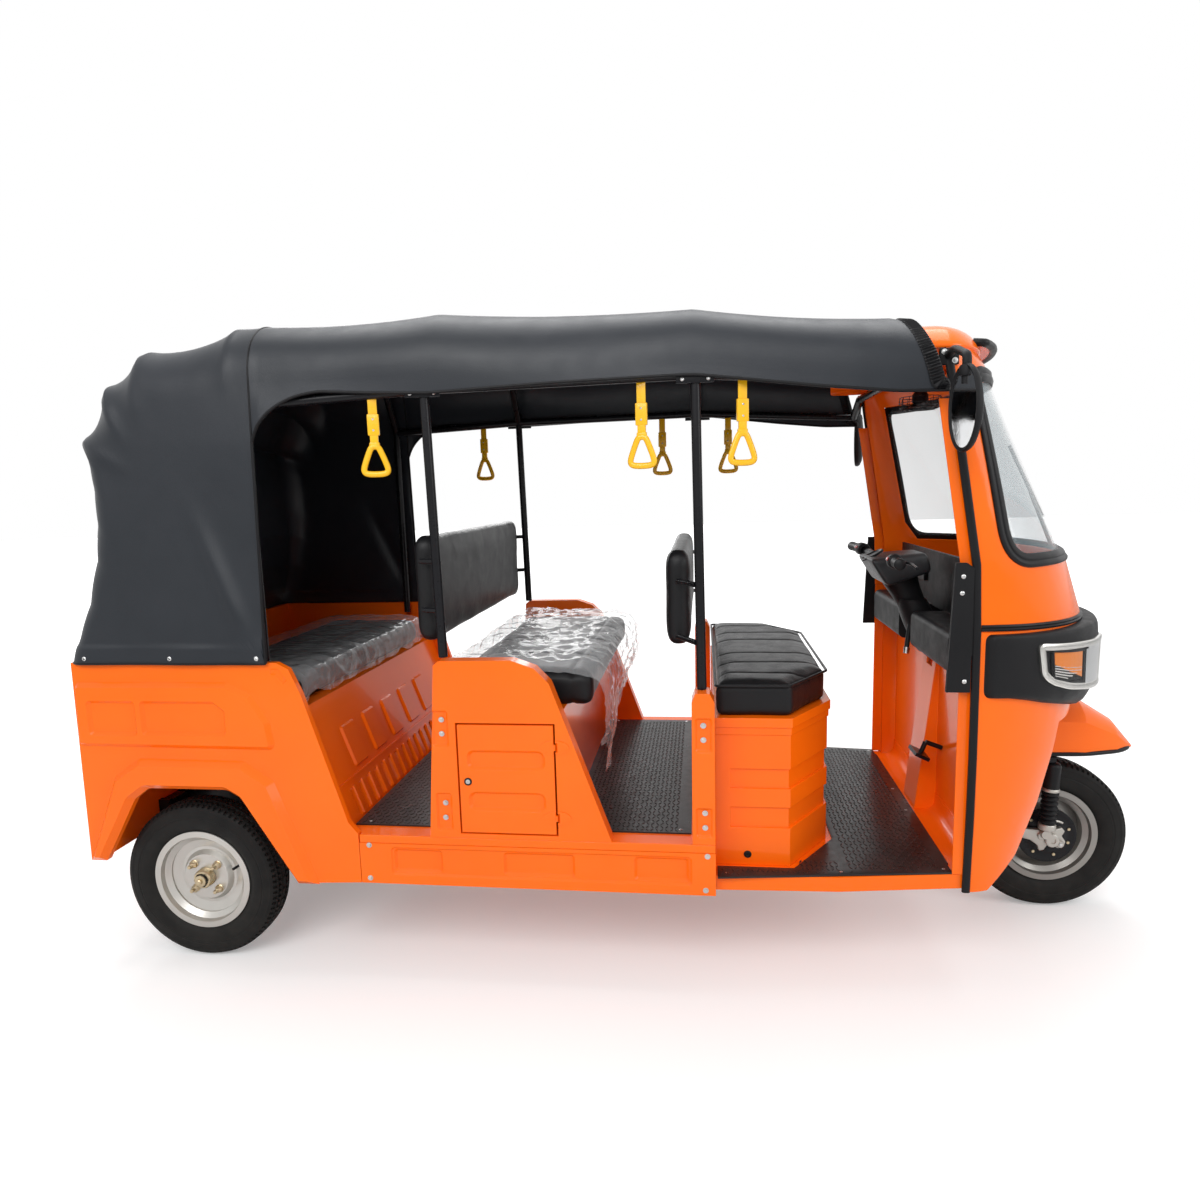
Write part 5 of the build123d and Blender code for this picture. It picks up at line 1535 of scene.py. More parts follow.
# ---- controls -----------------------------------------------------------------------------------
@dataclass
class Controls:
    """The handlebar with its cowl, grips, switches and levers, the instruments and the column."""

    top: Point = (2.345, 0.0, 1.250)
    rake: float = 0.466
    grip_half: float = 0.395

    def build(self) -> None:
        """Makes what turns with the bar, then what stays on the dash."""
        self.cowl()
        self.bars()
        self.fan()
        self.dash()

    def cowl(self) -> None:
        """The instrument cowl: a wedge that narrows forwards, with its dial in its rim, and the column
        sleeve.
        """
        bpy.ops.object.select_all(action="DESELECT")
        bpy.ops.mesh.primitive_cube_add(size=1, location=(0.012, 0, 0), scale=(0.196, 0.250, 0.112))
        cowl = bpy.context.object
        bpy.ops.object.transform_apply(location=True, rotation=True, scale=True)
        for vertex in cowl.data.vertices:
            if vertex.co.x > 0.02:
                vertex.co.y *= 0.66
                vertex.co.z = vertex.co.z * 0.66 - 0.022
            elif vertex.co.z < 0:
                vertex.co.x += 0.030
        modified(cowl, "BEVEL", width=0.020, segments=4)
        modified(cowl, "SUBSURF", levels=1, render_levels=1)
        turn = Matrix.Rotation(math.radians(-17), 4, "Y")
        spot = Matrix.Translation((AXLE_X + self.top[0] - 0.008, 0, self.top[2] - 0.008))
        cowl.data.transform(spot @ turn)
        finished(cowl, "handlebar_cowl", GREY_PLASTIC, Body.STEERING, ("handlebar",), smooth=50)
        face = spot @ turn
        dial_at, dial_way = face @ Vector((-0.052, 0, 0.0475)), (turn @ Vector((-0.18, 0, 1)))
        dial = spun("dial_rim", ((0, 0.030), (0, 0.040), (0.004, 0.041), (0.007, 0.037), (0.003, 0.030)),
                    dial_at, dial_way, 36, ring=True)
        glass = spun("dial", ((0, 0), (0.0, 0.031), (0.003, 0.031), (0.0034, 0)), dial_at, dial_way, 36)
        finished(dial, "dial_rim", TRIM_RUBBER, Body.STEERING)
        finished(glass, "dial_face", GREY_PLASTIC, Body.STEERING)
        x, _, z = self.top
        sleeve = spun("column_sleeve", ((0.0, 0.030), (0.0, 0.062), (0.020, 0.060), (0.075, 0.050),
                                        (0.135, 0.045), (0.137, 0.030)), (AXLE_X + x + 0.012, 0, z - 0.036),
                      (self.rake, 0, -1), 32)
        finished(sleeve, "column_sleeve", PLASTIC, Body.STEERING, smooth=45)

    def bars(self) -> None:
        """Bars, ribbed grips, switch blocks and levers, the same on both sides."""
        x, _, z = self.top
        inner = Vector((AXLE_X + x - 0.030, 0.105, z + 0.012))
        outer = Vector((AXLE_X + x - 0.060, 0.285, z + 0.026))
        tip = Vector((AXLE_X + 2.273, self.grip_half - 0.006, 1.278))
        bar = tube("bar", [inner, outer, tip], 0.0115, smooth=False)
        finished(bar, "handlebar_bars", BLACK_PAINT, Body.STEERING, mirror=True)
        way = (tip - outer).normalized()
        length = (tip - outer).length
        profile = [(-0.002, 0.012), (-0.002, 0.021), (0.004, 0.0215), (0.007, 0.0165)]
        for i in range(12):
            spot = 0.010 + (length - 0.022) * i / 12
            profile += [(spot, 0.0162), (spot + 0.003, 0.0172), (spot + 0.0055, 0.0162)]
        profile += [(length - 0.008, 0.018), (length, 0.0175), (length + 0.003, 0.014), (length + 0.004, 0.0)]
        grip = spun("grip", profile, outer, way, 24)
        finished(grip, "handlebar_grips", TRIM_RUBBER, Body.STEERING, smooth=45, mirror=True)
        switch = spun("switch", ((-0.052, 0.012), (-0.052, 0.021), (-0.047, 0.024), (-0.010, 0.024),
                                 (-0.005, 0.021), (-0.005, 0.012)), outer, way, 20)
        lever = tube("lever", [outer - way * 0.026 + Vector((0.020, 0, -0.002)),
                               outer + Vector((0.046, 0.004, -0.006)),
                               outer + way * 0.05 + Vector((0.048, 0.004, -0.010)),
                               outer + way * 0.098 + Vector((0.052, 0.0, -0.014))], 0.0052, turns=2)
        finished([switch], "switch_blocks", PLASTIC, Body.STEERING, smooth=40, mirror=True)
        finished(lever, "hand_levers", BLACK_PAINT, Body.STEERING, smooth=60, mirror=True)
        keys = [spun("key", ((0, 0), (0, 0.006), (0.003, 0.006), (0.004, 0.004), (0.004, 0)),
                     outer - way * (0.018 + 0.015 * k) + Vector((-0.022, 0, 0.008)), (-0.9, 0, 0.45), 14)
                for k in range(2)]
        finished(keys, "switch_keys", RED_LENS, Body.STEERING, smooth=40, mirror=True)

    def fan(self) -> None:
        """A small cab fan in its wire cage, hung under the roof."""
        cx, cy, cz = AXLE_X + 2.420, 0.0, 1.800
        motor = spun("motor", ((0.030, 0), (0.030, 0.020), (0.020, 0.026), (-0.004, 0.026), (-0.010, 0.018),
                               (-0.012, 0)), (cx, cy, cz), (0, 0, 1), 24)
        stem = spun("stem", ((0.028, 0.0), (0.028, 0.011), (0.060, 0.011), (0.064, 0.016), (0.066, 0.016),
                             (0.066, 0)), (cx, cy, cz), (0, 0, 1), 20)
        finished([motor, stem], "fan_motor", PLASTIC, replaces=("cab_fan",), smooth=45)
        blades = []
        for k in range(4):
            turn = math.radians(90 * k + 20)
            rows = []
            for i in range(6):
                r = 0.014 + 0.044 * i / 5
                rows.append([(cx + r * math.cos(turn + a), cy + r * math.sin(turn + a), cz - 0.014 + lift)
                             for a, lift in ((-0.42, 0.004), (-0.15, 0.001), (0.15, -0.003), (0.42, -0.008))])
            blades.append(modified(grid("blade", rows), "SOLIDIFY", thickness=0.0014, offset=0.0))
        finished(blades, "fan_blades", GREY_PLASTIC, smooth=50)
        wires = []
        for radius, z in ((0.069, -0.006), (0.066, 0.012), (0.066, -0.022), (0.050, -0.029), (0.034, -0.030),
                          (0.018, -0.030)):
            ring = [(cx + radius * math.cos(math.radians(15 * i)),
                     cy + radius * math.sin(math.radians(15 * i)), cz + z) for i in range(24)]
            wires.append(tube("wire", ring, 0.0012, closed=True, turns=1))
        for k in range(16):
            turn = math.radians(22.5 * k)
            wires.append(tube("wire", [(cx + r * math.cos(turn), cy + r * math.sin(turn), cz + z)
                                       for r, z in ((0.012, -0.0305), (0.050, -0.0300), (0.067, -0.020),
                                                    (0.069, -0.004), (0.066, 0.012))], 0.0010, turns=1))
        finished(wires, "fan_cage", BLACK_PAINT, smooth=60)

    def dash(self) -> None:
        """The column shroud over the head tube and the switch panel beside it."""
        verts, faces = [], []
        rows = ((1.120, 2.405, 0.070, 0.052), (1.060, 2.430, 0.078, 0.060), (0.980, 2.462, 0.074, 0.060),
                (0.930, 2.486, 0.060, 0.050))
        for z, x, half, deep in rows:
            for k in range(16):
                turn = 2 * math.pi * k / 16
                verts.append((AXLE_X + x + deep * math.cos(turn), half * math.sin(turn), z))
        for r in range(len(rows) - 1):
            faces += [(r * 16 + k, r * 16 + (k + 1) % 16, (r + 1) * 16 + (k + 1) % 16, (r + 1) * 16 + k)
                      for k in range(16)]
        shroud = merged(meshed("column_shroud", verts, faces), outwards=True)
        modified(shroud, "SUBSURF", levels=2, render_levels=2)
        modified(shroud, "SOLIDIFY", thickness=0.003, offset=-1.0)
        finished(shroud, "column_shroud", PLASTIC, smooth=60)
        finished(block((AXLE_X + 2.494, 0.22, 1.200), (0.012, 0.150, 0.075), 0.004, 3), "switch_panel",
                 GREY_PLASTIC)
        switches = [block((AXLE_X + 2.4865, 0.175 + 0.03 * k, 1.202), (0.006, 0.018, 0.030), 0.0018,
                          turn=(0, math.radians(6), 0)) for k in range(4)]
        finished(switches, "rocker_switches", TRIM_RUBBER)


# ---- wheels -------------------------------------------------------------------------------------
def nut(sides: int, radius: float, depth: float, place: Point, turn: float, edge: float) -> Object:
    """A prism across the vehicle with rolled edges.

    Args:
        sides: How many sides it has.
        radius: Its radius over the corners.
        depth: Its length.
        place: Its middle.
        turn: Its turn about its own axis.
        edge: Width of the rolled edges.

    Returns:
        The prism.
    """
    bpy.ops.object.select_all(action="DESELECT")
    bpy.ops.mesh.primitive_cylinder_add(vertices=sides, radius=radius, depth=depth,
                                        rotation=(math.pi / 2, 0, turn), location=place)
    made = bpy.context.object
    bpy.ops.object.transform_apply(location=True, rotation=True, scale=True)
    return modified(made, "BEVEL", width=edge, segments=2)


@dataclass
class Hub:
    """A rear wheel's hub end, wheel nuts, their studs and the valve."""

    body: Body
    centre: Point
    out: int
    dish: float = 0.006
    pitch_r: float = 0.060

    def build(self) -> None:
        """Makes the nuts, the hub end and the valve stem."""
        suffix = hand(self.out)
        cx, cy, cz = self.centre
        axis = (0, self.out, 0)
        face = cy + self.out * (self.dish + 0.012)
        nuts = []
        for k in range(4):
            turn = math.radians(45 + 90 * k)
            spot = (cx + self.pitch_r * math.cos(turn), face - self.out * 0.002,
                    cz + self.pitch_r * math.sin(turn))
            nuts.append(nut(6, 0.0122, 0.018, (spot[0], spot[1] + self.out * 0.009, spot[2]), turn, 0.0016))
            nuts.append(spun("seat", ((0, 0), (0, 0.0165), (0.004, 0.0125), (0.005, 0)), spot, axis, 20))
            nuts.append(spun("stud", ((0.014, 0), (0.014, 0.0066), (0.029, 0.0066), (0.031, 0.0052),
                                      (0.031, 0)), spot, axis, 14))
        finished(nuts, "wheel_nuts_" + suffix, BRASS, self.body, smooth=35)
        hub_end = spun("hub_end", ((0.0, 0.0), (0.0, 0.0335), (0.020, 0.0320), (0.025, 0.0285),
                                   (0.026, 0.0225), (0.022, 0.0205), (0.022, 0.0)),
                       (cx, cy + self.out * (self.dish + 0.014), cz), axis, 40)
        castle = self.castle_nut((cx, cy + self.out * (self.dish + 0.034), cz), axis)
        finished([hub_end, castle], "hub_end_" + suffix, BRASS, self.body, smooth=35)
        valve = tube("valve", [(cx + 0.118, cy + self.out * 0.012, cz + 0.040),
                               (cx + 0.108, cy + self.out * 0.034, cz + 0.0365)], 0.0046, smooth=False)
        finished(valve, "valve_" + suffix, TRIM_RUBBER, self.body)

    def castle_nut(self, place: Point, axis: Point) -> Object:
        """A slotted axle nut on the stub's end.

        Args:
            place: The nut's foot.
            axis: The stub's direction.

        Returns:
            The nut with its stub end.
        """
        ring = nut(12, 0.0205, 0.022, (place[0], place[1] + axis[1] * 0.006, place[2]), 0, 0.0022)
        tip = spun("tip", ((0.016, 0), (0.016, 0.010), (0.024, 0.0095), (0.026, 0.007), (0.026, 0)), place,
                   axis, 20)
        return joined("castle_nut", [ring, tip])


@dataclass
class FrontFork:
    """The front wheel's brake plate, forged arm, bellows damper and brake lever, all on the steering."""

    axle: Pair = (WHEELBASE, WHEEL_Z)
    pivot: Pair = (2.730, 0.300)
    damper_foot: Pair = (2.857, 0.300)
    damper_head: Pair = (2.868, 0.556)
    plate_y: float = -0.052
    arm_y: float = -0.075
    damper_y: float = -0.099

    def build(self) -> None:
        """Makes the parts from the wheel outwards."""
        self.plate()
        self.arm()
        self.damper()

    def plate(self) -> None:
        """The dished brake backing plate with its pressed ring and studs."""
        x, z = self.axle
        centre = (AXLE_X + x, self.plate_y + 0.010, z)
        disc = spun("brake_plate", ((0.0, 0.0), (0.0, 0.099), (0.004, 0.1005), (0.009, 0.099), (0.010, 0.092),
                                    (0.007, 0.086), (0.007, 0.066), (0.011, 0.060), (0.013, 0.040),
                                    (0.013, 0.0)), centre, (0, -1, 0), 64)
        turns = [math.radians(a) for a in (18, 75, 135, 235, 290, 340)]
        spots = [(AXLE_X + x + 0.076 * math.cos(a), self.plate_y + 0.003, z + 0.076 * math.sin(a))
                 for a in turns]
        rivets = [spun("rivet", ((0, 0), (0, 0.006), (0.003, 0.005), (0.004, 0)), spot, (0, -1, 0), 12)
                  for spot in spots]
        finished(disc, "brake_plate", BLACK_PAINT, Body.STEERING, ("swing_arm",), smooth=35)
        finished(rivets, "brake_rivets", BRASS, Body.STEERING)

    def arm(self) -> None:
        """The forged arm: a tapering web between pivot and axle bosses, with its clamp ears and bolts."""
        outline = ((2.712, 0.316), (2.742, 0.322), (2.800, 0.306), (2.842, 0.304), (2.868, 0.312),
                   (2.892, 0.306), (2.914, 0.314), (2.926, 0.300), (2.916, 0.282), (2.930, 0.262),
                   (2.922, 0.240), (2.902, 0.236), (2.888, 0.250), (2.868, 0.246), (2.858, 0.228),
                   (2.842, 0.226), (2.836, 0.246), (2.812, 0.264), (2.744, 0.284), (2.714, 0.288))
        count = len(outline)
        verts = [(AXLE_X + a, self.arm_y + off, b) for off in (-0.010, 0.010) for a, b in outline]
        faces = [list(range(count)), list(range(count, 2 * count))[::-1]]
        faces += [[i, (i + 1) % count, count + (i + 1) % count, count + i] for i in range(count)]
        web = merged(meshed("web", verts, faces), outwards=True)
        modified(web, "BEVEL", width=0.0045, segments=3)
        bosses = []
        for (a, b), radius, reach in (((2.730, 0.302), 0.021, 0.018), ((2.880, 0.270), 0.024, 0.026),
                                      ((2.848, 0.284), 0.015, 0.018), ((2.908, 0.256), 0.013, 0.020)):
            bosses.append(spun("boss", ((-0.014, 0), (-0.014, radius * 0.9), (0.004, radius),
                                        (reach - 0.003, radius), (reach, radius * 0.88),
                                        (reach, radius * 0.45), (reach - 0.004, radius * 0.42),
                                        (reach - 0.004, 0)), (AXLE_X + a, self.arm_y, b), (0, -1, 0), 28))
        stub = spun("stub", ((-0.105, 0), (-0.105, 0.0178), (0.0, 0.0178), (0.0, 0)),
                    (AXLE_X + self.axle[0], self.arm_y, self.axle[1]), (0, -1, 0), 24)
        finished([web, stub] + bosses, "swing_arm_forged", CAST_METAL, Body.STEERING, smooth=35)
        heads = [hex_head((AXLE_X + a, self.arm_y - r, b), (0, -1, 0), 0.009, 0.006)
                 for a, b, r in ((2.848, 0.284, 0.014), (2.908, 0.256, 0.016), (2.730, 0.302, 0.014))]
        finished(heads, "swing_arm_bolts", ZINC, Body.STEERING)

    def damper(self) -> None:
        """A bellows over the damper between two bright collars."""
        foot = Vector((AXLE_X + self.damper_foot[0], self.damper_y, self.damper_foot[1]))
        head = Vector((AXLE_X + self.damper_head[0], self.damper_y, self.damper_head[1]))
        way, length = (head - foot).normalized(), (head - foot).length
        eye = spun("eye", ((-0.016, 0), (-0.016, 0.016), (-0.010, 0.018), (0.010, 0.018), (0.016, 0.016),
                           (0.016, 0)), foot + Vector((0, 0.010, -0.006)), (0, 1, 0), 24)
        profile = [(0.030, 0.012), (0.030, 0.022)]
        folds, low, high = 7, 0.036, length * 0.60
        for i in range(folds):
            spot = low + (high - low) * i / folds
            step = (high - low) / folds
            profile += [(spot, 0.0215), (spot + step * 0.35, 0.0275), (spot + step * 0.65, 0.0275),
                        (spot + step, 0.0215)]
        profile += [(high + 0.004, 0.026), (length - 0.012, 0.0265), (length - 0.004, 0.023), (length, 0.015),
                    (length, 0.0)]
        bellows = spun("bellows", [(0.030, 0.0)] + profile, foot, way, 28)
        finished(bellows, "damper_bellows", TRIM_RUBBER, Body.STEERING, ("spring_damper",), smooth=40)
        collars = [spun("collar", ((a, 0.014), (a, 0.0262), (a + 0.003, 0.0285), (a + b - 0.003, 0.0285),
                                   (a + b, 0.0262), (a + b, 0.014)), foot, way, 28, ring=True)
                   for a, b in ((0.014, 0.022), (high, 0.012))]
        finished(collars + [eye], "damper_collars", CAST_METAL, Body.STEERING, smooth=35)
        x, z = self.axle
        lever = tube("lever", [(AXLE_X + x - 0.028, -0.072, z + 0.050),
                               (AXLE_X + x - 0.004, -0.078, z + 0.062),
                               (AXLE_X + x + 0.022, -0.076, z + 0.066),
                               (AXLE_X + x + 0.040, -0.072, z + 0.056)], 0.0042)
        finished(lever, "brake_cam_lever", CAST_METAL, Body.STEERING, smooth=60)


def grab_handles() -> None:
    """Six handles, three on each rail, none hanging quite the same."""
    handles = [GrabHandle(x, side, twist) for x, side, twist in (
        (0.713, -1, 14), (1.508, -1, -12), (1.790, -1, 18), (0.713, 1, -9), (1.508, 1, 7), (1.790, 1, -14))]
    finished([h.build() for h in handles], "grab_handles_moulded", YELLOW,
             replaces=("grab_handles",), smooth=40)
    finished([r for h in handles for r in h.rivets()], "handle_rivets", ZINC)


# ---- canopy -------------------------------------------------------------------------------------
def along(points: Sequence[Pair], x: float) -> float:
    """Reads a polyline of (x, value) at x.

    Args:
        points: The polyline, x rising.
        x: Where it is read.

    Returns:
        The value, held past the ends.
    """
    for (x0, v0), (x1, v1) in zip(points, points[1:]):
        if x <= x1:
            return v0 + (v1 - v0) * max(0.0, (x - x0) / (x1 - x0 or 1))
    return points[-1][1]


def ease(value: float) -> float:
    """A smooth step from 0 to 1."""
    t = min(1.0, max(0.0, value))
    return t * t * (3 - 2 * t)


@dataclass
class Canopy:
    """The vinyl hood: a fan of bows behind, a roof in front, one sheet over both."""

    pivot: Pair = (0.345, 1.030)
    back: tuple[Pair, ...] = (
        (-0.326, 1.030), (-0.318, 1.062), (-0.300, 1.110), (-0.262, 1.220), (-0.236, 1.360), (-0.230, 1.480),
        (-0.236, 1.600), (-0.250, 1.690), (-0.262, 1.738))
    bows: tuple[Pair, ...] = ((-0.262, 1.738), (-0.176, 1.898), (-0.050, 2.000), (0.262, 2.056),
                                             (0.345, 2.058))
    roof: tuple[Pair, ...] = ((0.345, 2.058), (0.900, 2.066), (1.656, 2.037), (2.200, 1.985),
                                             (2.262, 1.972), (2.300, 1.940), (2.330, 1.885))
    hem: tuple[Pair, ...] = (
        (0.345, 1.700), (0.357, 1.738), (0.385, 1.775), (0.424, 1.802), (0.480, 1.826), (0.552, 1.839),
        (0.700, 1.829), (0.894, 1.820), (1.250, 1.831), (1.654, 1.838), (2.000, 1.792), (2.200, 1.770),
        (2.330, 1.767))
    half_low: float = 0.668
    half_high: float = 0.632
    low_z: float = 1.03
    high_z: float = 1.86
    band: float = 0.05
    thick: float = 0.0022
    under: int = 26
    rise: int = 12
    corner: int = 14
    across: int = 44
    front_top: float = 2.255

    def half(self, x: float, z: float) -> float:
        """Half the sheet's width at a height, drawn in over the cab.

        Args:
            x: Distance ahead of the rear axle.
            z: Height.

        Returns:
            The half width.
        """
        grown = (self.half_high - self.half_low) * (z - self.low_z) / (self.high_z - self.low_z)
        wide = self.half_low + grown
        slack = 0.007 * math.sin(math.pi * min(1, max(0, (z - 1.08) / 0.62))) if x < 0.345 else 0.0
        return wide * (1 - 0.018 * ease((x - 2.08) / 0.25)) - slack

    def outline(self) -> list[Pair]:
        """The rear silhouette from the hem to the roof, slack between its bows.

        Returns:
            The points from the hem upwards.
        """
        line = list(self.back)
        for (x0, z0), (x1, z1) in zip(self.bows, self.bows[1:]):
            run = math.hypot(x1 - x0, z1 - z0)
            for step in range(1, 13):
                t = step / 12
                sag = 0.075 * run * 4 * t * (1 - t) * (1 if x1 < 0.3 else 0.1)
                line.append((x0 + (x1 - x0) * t + sag * (z1 - z0) / run,
                             z0 + (z1 - z0) * t - sag * (x1 - x0) / run))
        return line

    def reach(self, angle: float, line: Sequence[Pair]) -> float:
        """How far the silhouette is from the pivot along an angle.

        Args:
            angle: Degrees above straight ahead.
            line: The silhouette.

        Returns:
            The distance.
        """
        polar = [(math.degrees(math.atan2(z - self.pivot[1], x - self.pivot[0])),
                  math.hypot(x - self.pivot[0], z - self.pivot[1])) for x, z in line]
        return along(sorted(polar), angle)

    def section(self, place: Callable[[float], Pair], low: float, split: float | None, top: float,
                bend: float, crown: float) -> list[Point]:
        """One station of the sheet from the right hem over to the left.

        Args:
            place: Gives x and z at a distance along the station's rise.
            low: The distance at the hem.
            split: Where the lower side ends on a rear station, or None on a roof station.
            top: The distance at the roof or back.
            bend: How far the corner starts below the top.
            crown: Rise of the middle over the corners.

        Returns:
            The points of the whole station.
        """
        side = [low + (split - low) * i / self.under for i in range(self.under)] if split is not None else []
        start = split if split is not None else low
        side += [start + (top - bend - start) * i / self.rise for i in range(self.rise)]
        points = []
        for distance in side:
            x, z = place(distance)
            points.append((x, -self.half(x, z), z))
        x, z = place(top - bend)
        edge = self.half(x, z)
        inner = edge - bend * 0.95
        for i in range(self.corner):
            turn = math.pi / 2 * i / self.corner
            x, z = place(top - bend + bend * math.sin(turn) ** 0.9)
            points.append((x, -inner - (edge - inner) * math.cos(turn) ** 0.9, z))
        for i in range(self.across // 2 + 1):
            y = -inner * (1 - 2 * i / self.across)
            x, z = place(top + crown * (1 - (y / inner) ** 2))
            points.append((x, y, z))
        return points + [(x, -y, z) for x, y, z in reversed(points[:-1])]

    def stations(self) -> tuple[list[list[Point]], list[list[Point]]]:
        """The rear fan's stations and the roof's.

        Returns:
            The stations of both, each from the right hem to the left.
        """
        line = self.outline()
        px, pz = self.pivot
        full = self.reach(90.0, line)
        fan, roof = [], []
        angles = [180 - 0.4 * i for i in range(20)] + [172 - 0.9 * i for i in range(91)] + [90.0]
        for angle in angles:
            ray = math.radians(angle)
            reach = self.reach(angle, line)
            t = (180 - angle) / 90
            bend = 0.055 + 0.125 * ease(t * 1.1)
            split = 0.670 * (reach - bend) / (full - 0.18)
            fan.append(self.section(lambda d: (px + d * math.cos(ray), pz + d * math.sin(ray)), 0.0, split,
                                    reach, bend, 0.004 + 0.024 * ease(t)))
        spots = [0.345, 0.352, 0.362, 0.38, 0.405] + [0.43 + 0.0185 * i for i in range(95)]
        spots += [2.2, 2.22, 2.24, 2.262, 2.28, 2.3, 2.315, 2.33]
        bows = [x for x, _ in self.roof]
        for spot in spots:
            top = along(self.roof, spot)
            gaps = [(a, b) for a, b in zip(bows, bows[1:]) if a < spot < b and b - a > 0.3]
            if gaps:
                (a, b), = gaps
                t = (spot - a) / (b - a)
                top -= 0.012 * 4 * t * (1 - t)
            bend = min(0.18, 0.85 * (top - along(self.hem, spot)))
            roof.append(self.section(lambda d: (spot, d), along(self.hem, spot), None, top, bend, 0.028))
        return fan, self.cut_back(spots, roof)

    def cut_back(self, spots: Sequence[float], roof: Sequence[list[Point]]) -> list[list[Point]]:
        """Ends the roof earlier over the cab than on its sides.

        Args:
            spots: Where each roof station stands.
            roof: The stations, all running over the full width.

        Returns:
            The stations with their tops held at the hood's front edge.
        """
        count = len(roof[0])
        cut = []
        for spot, row in zip(spots, roof):
            line = []
            for i, point in enumerate(row):
                rank = min(i, count - 1 - i)
                inwards = ease((rank - self.rise * 0.6) / (self.corner + 4))
                limit = spots[-1] - (spots[-1] - self.front_top) * inwards
                if spot > limit:
                    k = max(j for j, value in enumerate(spots) if value <= limit)
                    t = (limit - spots[k]) / (spots[k + 1] - spots[k]) if k + 1 < len(spots) else 0.0
                    ahead = roof[min(k + 1, len(roof) - 1)][i]
                    point = tuple(a + (b - a) * t for a, b in zip(roof[k][i], ahead))
                line.append(point)
            cut.append(line)
        return cut

    def settle(self, p: Vector) -> Vector:
        """Pulls a point of the sheet into its folds: bow ridges, hem band and slack.

        Args:
            p: A point of the smooth sheet.

        Returns:
            The point where the cloth lies.
        """
        x, y, z = p
        rel = x - AXLE_X
        out = Vector((0, math.copysign(1, y), 0))
        shift = Vector((0, 0, 0))
        for bow, depth, spread in (((-0.262, 1.738), 0.012, 0.016), ((-0.176, 1.898), 0.012, 0.016),
                                   ((-0.050, 2.000), 0.010, 0.016), ((0.262, 2.056), 0.006, 0.014)):
            to = Vector((-0.02, 0, 1.60)) - Vector((bow[0], 0, bow[1]))
            if bow[0] > 0.2:
                to = Vector((0.02, 0, -0.5))
            away = Vector((rel - bow[0], 0, z - bow[1]))
            way = to.normalized()
            reach = max(0.0, away.dot(way))
            off = (away - way * away.dot(way)).length
            fade = max(0.0, 1 - reach / 0.26)
            if abs(y) > 0.40:
                shift += out * depth * fade ** 1.5 * math.exp(-(off / spread) ** 2)
                shift -= out * 0.5 * depth * fade * math.exp(-((off - 0.05) / 0.035) ** 2)
        if rel < 0.34 and z < 1.03 + self.band + 0.012:
            ramp = ease((1.03 + self.band + 0.012 - z) / 0.014)
            ripple = 0.002 * math.sin(rel * 19)
            if abs(y) > 0.64 or rel > -0.30:
                shift += out * (0.004 * ramp + ripple * ramp)
            else:
                shift += Vector((-0.003 * ramp, 0, 0))
        if rel < 0.36 and abs(y) > 0.55:
            a, b = Vector((0.31, 0, 1.06)), Vector((0.12, 0, 1.52))
            way = (b - a).normalized()
            away = Vector((rel, 0, z)) - a
            t = away.dot(way) / (b - a).length
            off = (away - way * away.dot(way)).length
            shift += out * 0.011 * math.exp(-(off / 0.03) ** 2) * ease(t * 3) * ease((1.15 - t) * 1.6)
        if rel > 0.36 and z < 2.0:
            t = (rel - 0.36) / 1.95
            shift += out * 0.006 * math.sin(3.2 * math.pi * t + 12 * z) * ease((2.02 - z) * 6)
        soft = noise.noise(Vector((rel * 2.3, y * 2.1, z * 2.7))) * 0.0035
        soft += noise.noise(Vector((rel * 7, y * 6, z * 4 + 9))) * 0.0011
        return p + shift + out * soft

    def build(self) -> None:
        """Makes the sheet, its piping and its fasteners."""
        fan, roof = self.stations()
        moved = [[[Vector((x + AXLE_X, y, z)) for x, y, z in row] for row in part] for part in (fan, roof)]
        moved = [[[self.settle(p) for p in row] for row in part] for part in moved]
        hood = joined("canopy_hood", [grid("canopy_hood", moved[0]), grid("roof", moved[1])])
        merged(hood, 0.0012, outwards=False)
        modified(hood, "SOLIDIFY", thickness=self.thick, offset=0.0)
        finished(hood, "canopy_hood", CANOPY, replaces=("canopy",), smooth=42)
        trims = self.piping(moved)

    def piping(self, moved: list[list[list[Vector]]]) -> list[Object]:
        """The corded seams and bound edges, and the snaps along the hem.

        Args:
            moved: The sheet's settled stations, rear fan first.

        Returns:
            The trim pieces.
        """
        fan, roof = moved
        last = roof[-1]
        edge = [row[0] for row in roof]
        lines = [([p + Vector((0, 0, 0.001)) for p in fan[-1][self.under:-self.under]], 0.0036),
                 (edge + last + [row[-1] for row in reversed(roof)], 0.0045)]
        front = [p + Vector((-0.004, 0, 0)) for p in last]
        lines.append((front, 0.0075))
        side = [fan[-1][i] for i in range(0, self.under + 1)]
        lines.append((side + [roof[0][0]], 0.0045))
        lines.append(([Vector((p.x, -p.y, p.z)) for p in side] + [roof[0][-1]], 0.0045))
        hem = [Vector(p) for p in fan[0]]
        lines.append((hem, 0.0042))
        seam = self.rise + self.corner + 1
        for index in (seam, len(roof[0]) - 1 - seam):
            lines.append(([row[index] + Vector((0, 0, 0.0015)) for row in roof[:-7]], 0.0030))
        parts = [tube("bead", line[:: 2] + [line[-1]], radius) for line, radius in lines]
        beads = finished(parts, "canopy_piping", TRIM_RUBBER, smooth=60)
        heads = []
        for x in (-0.262, 0.03, 0.318):
            for side_y in SIDES:
                heads.append(round_head((x + AXLE_X, side_y * 0.6725, 1.046), (0, side_y, 0), 0.0085, 0.005))
        for y in (-0.45, -0.15, 0.15, 0.45):
            heads.append(round_head((-0.3285 + AXLE_X, y, 1.046), (-1, 0, 0), 0.0085, 0.005))
        snaps = finished(heads, "canopy_snaps", ZINC)
        return [beads, snaps, self.cuff(roof)]

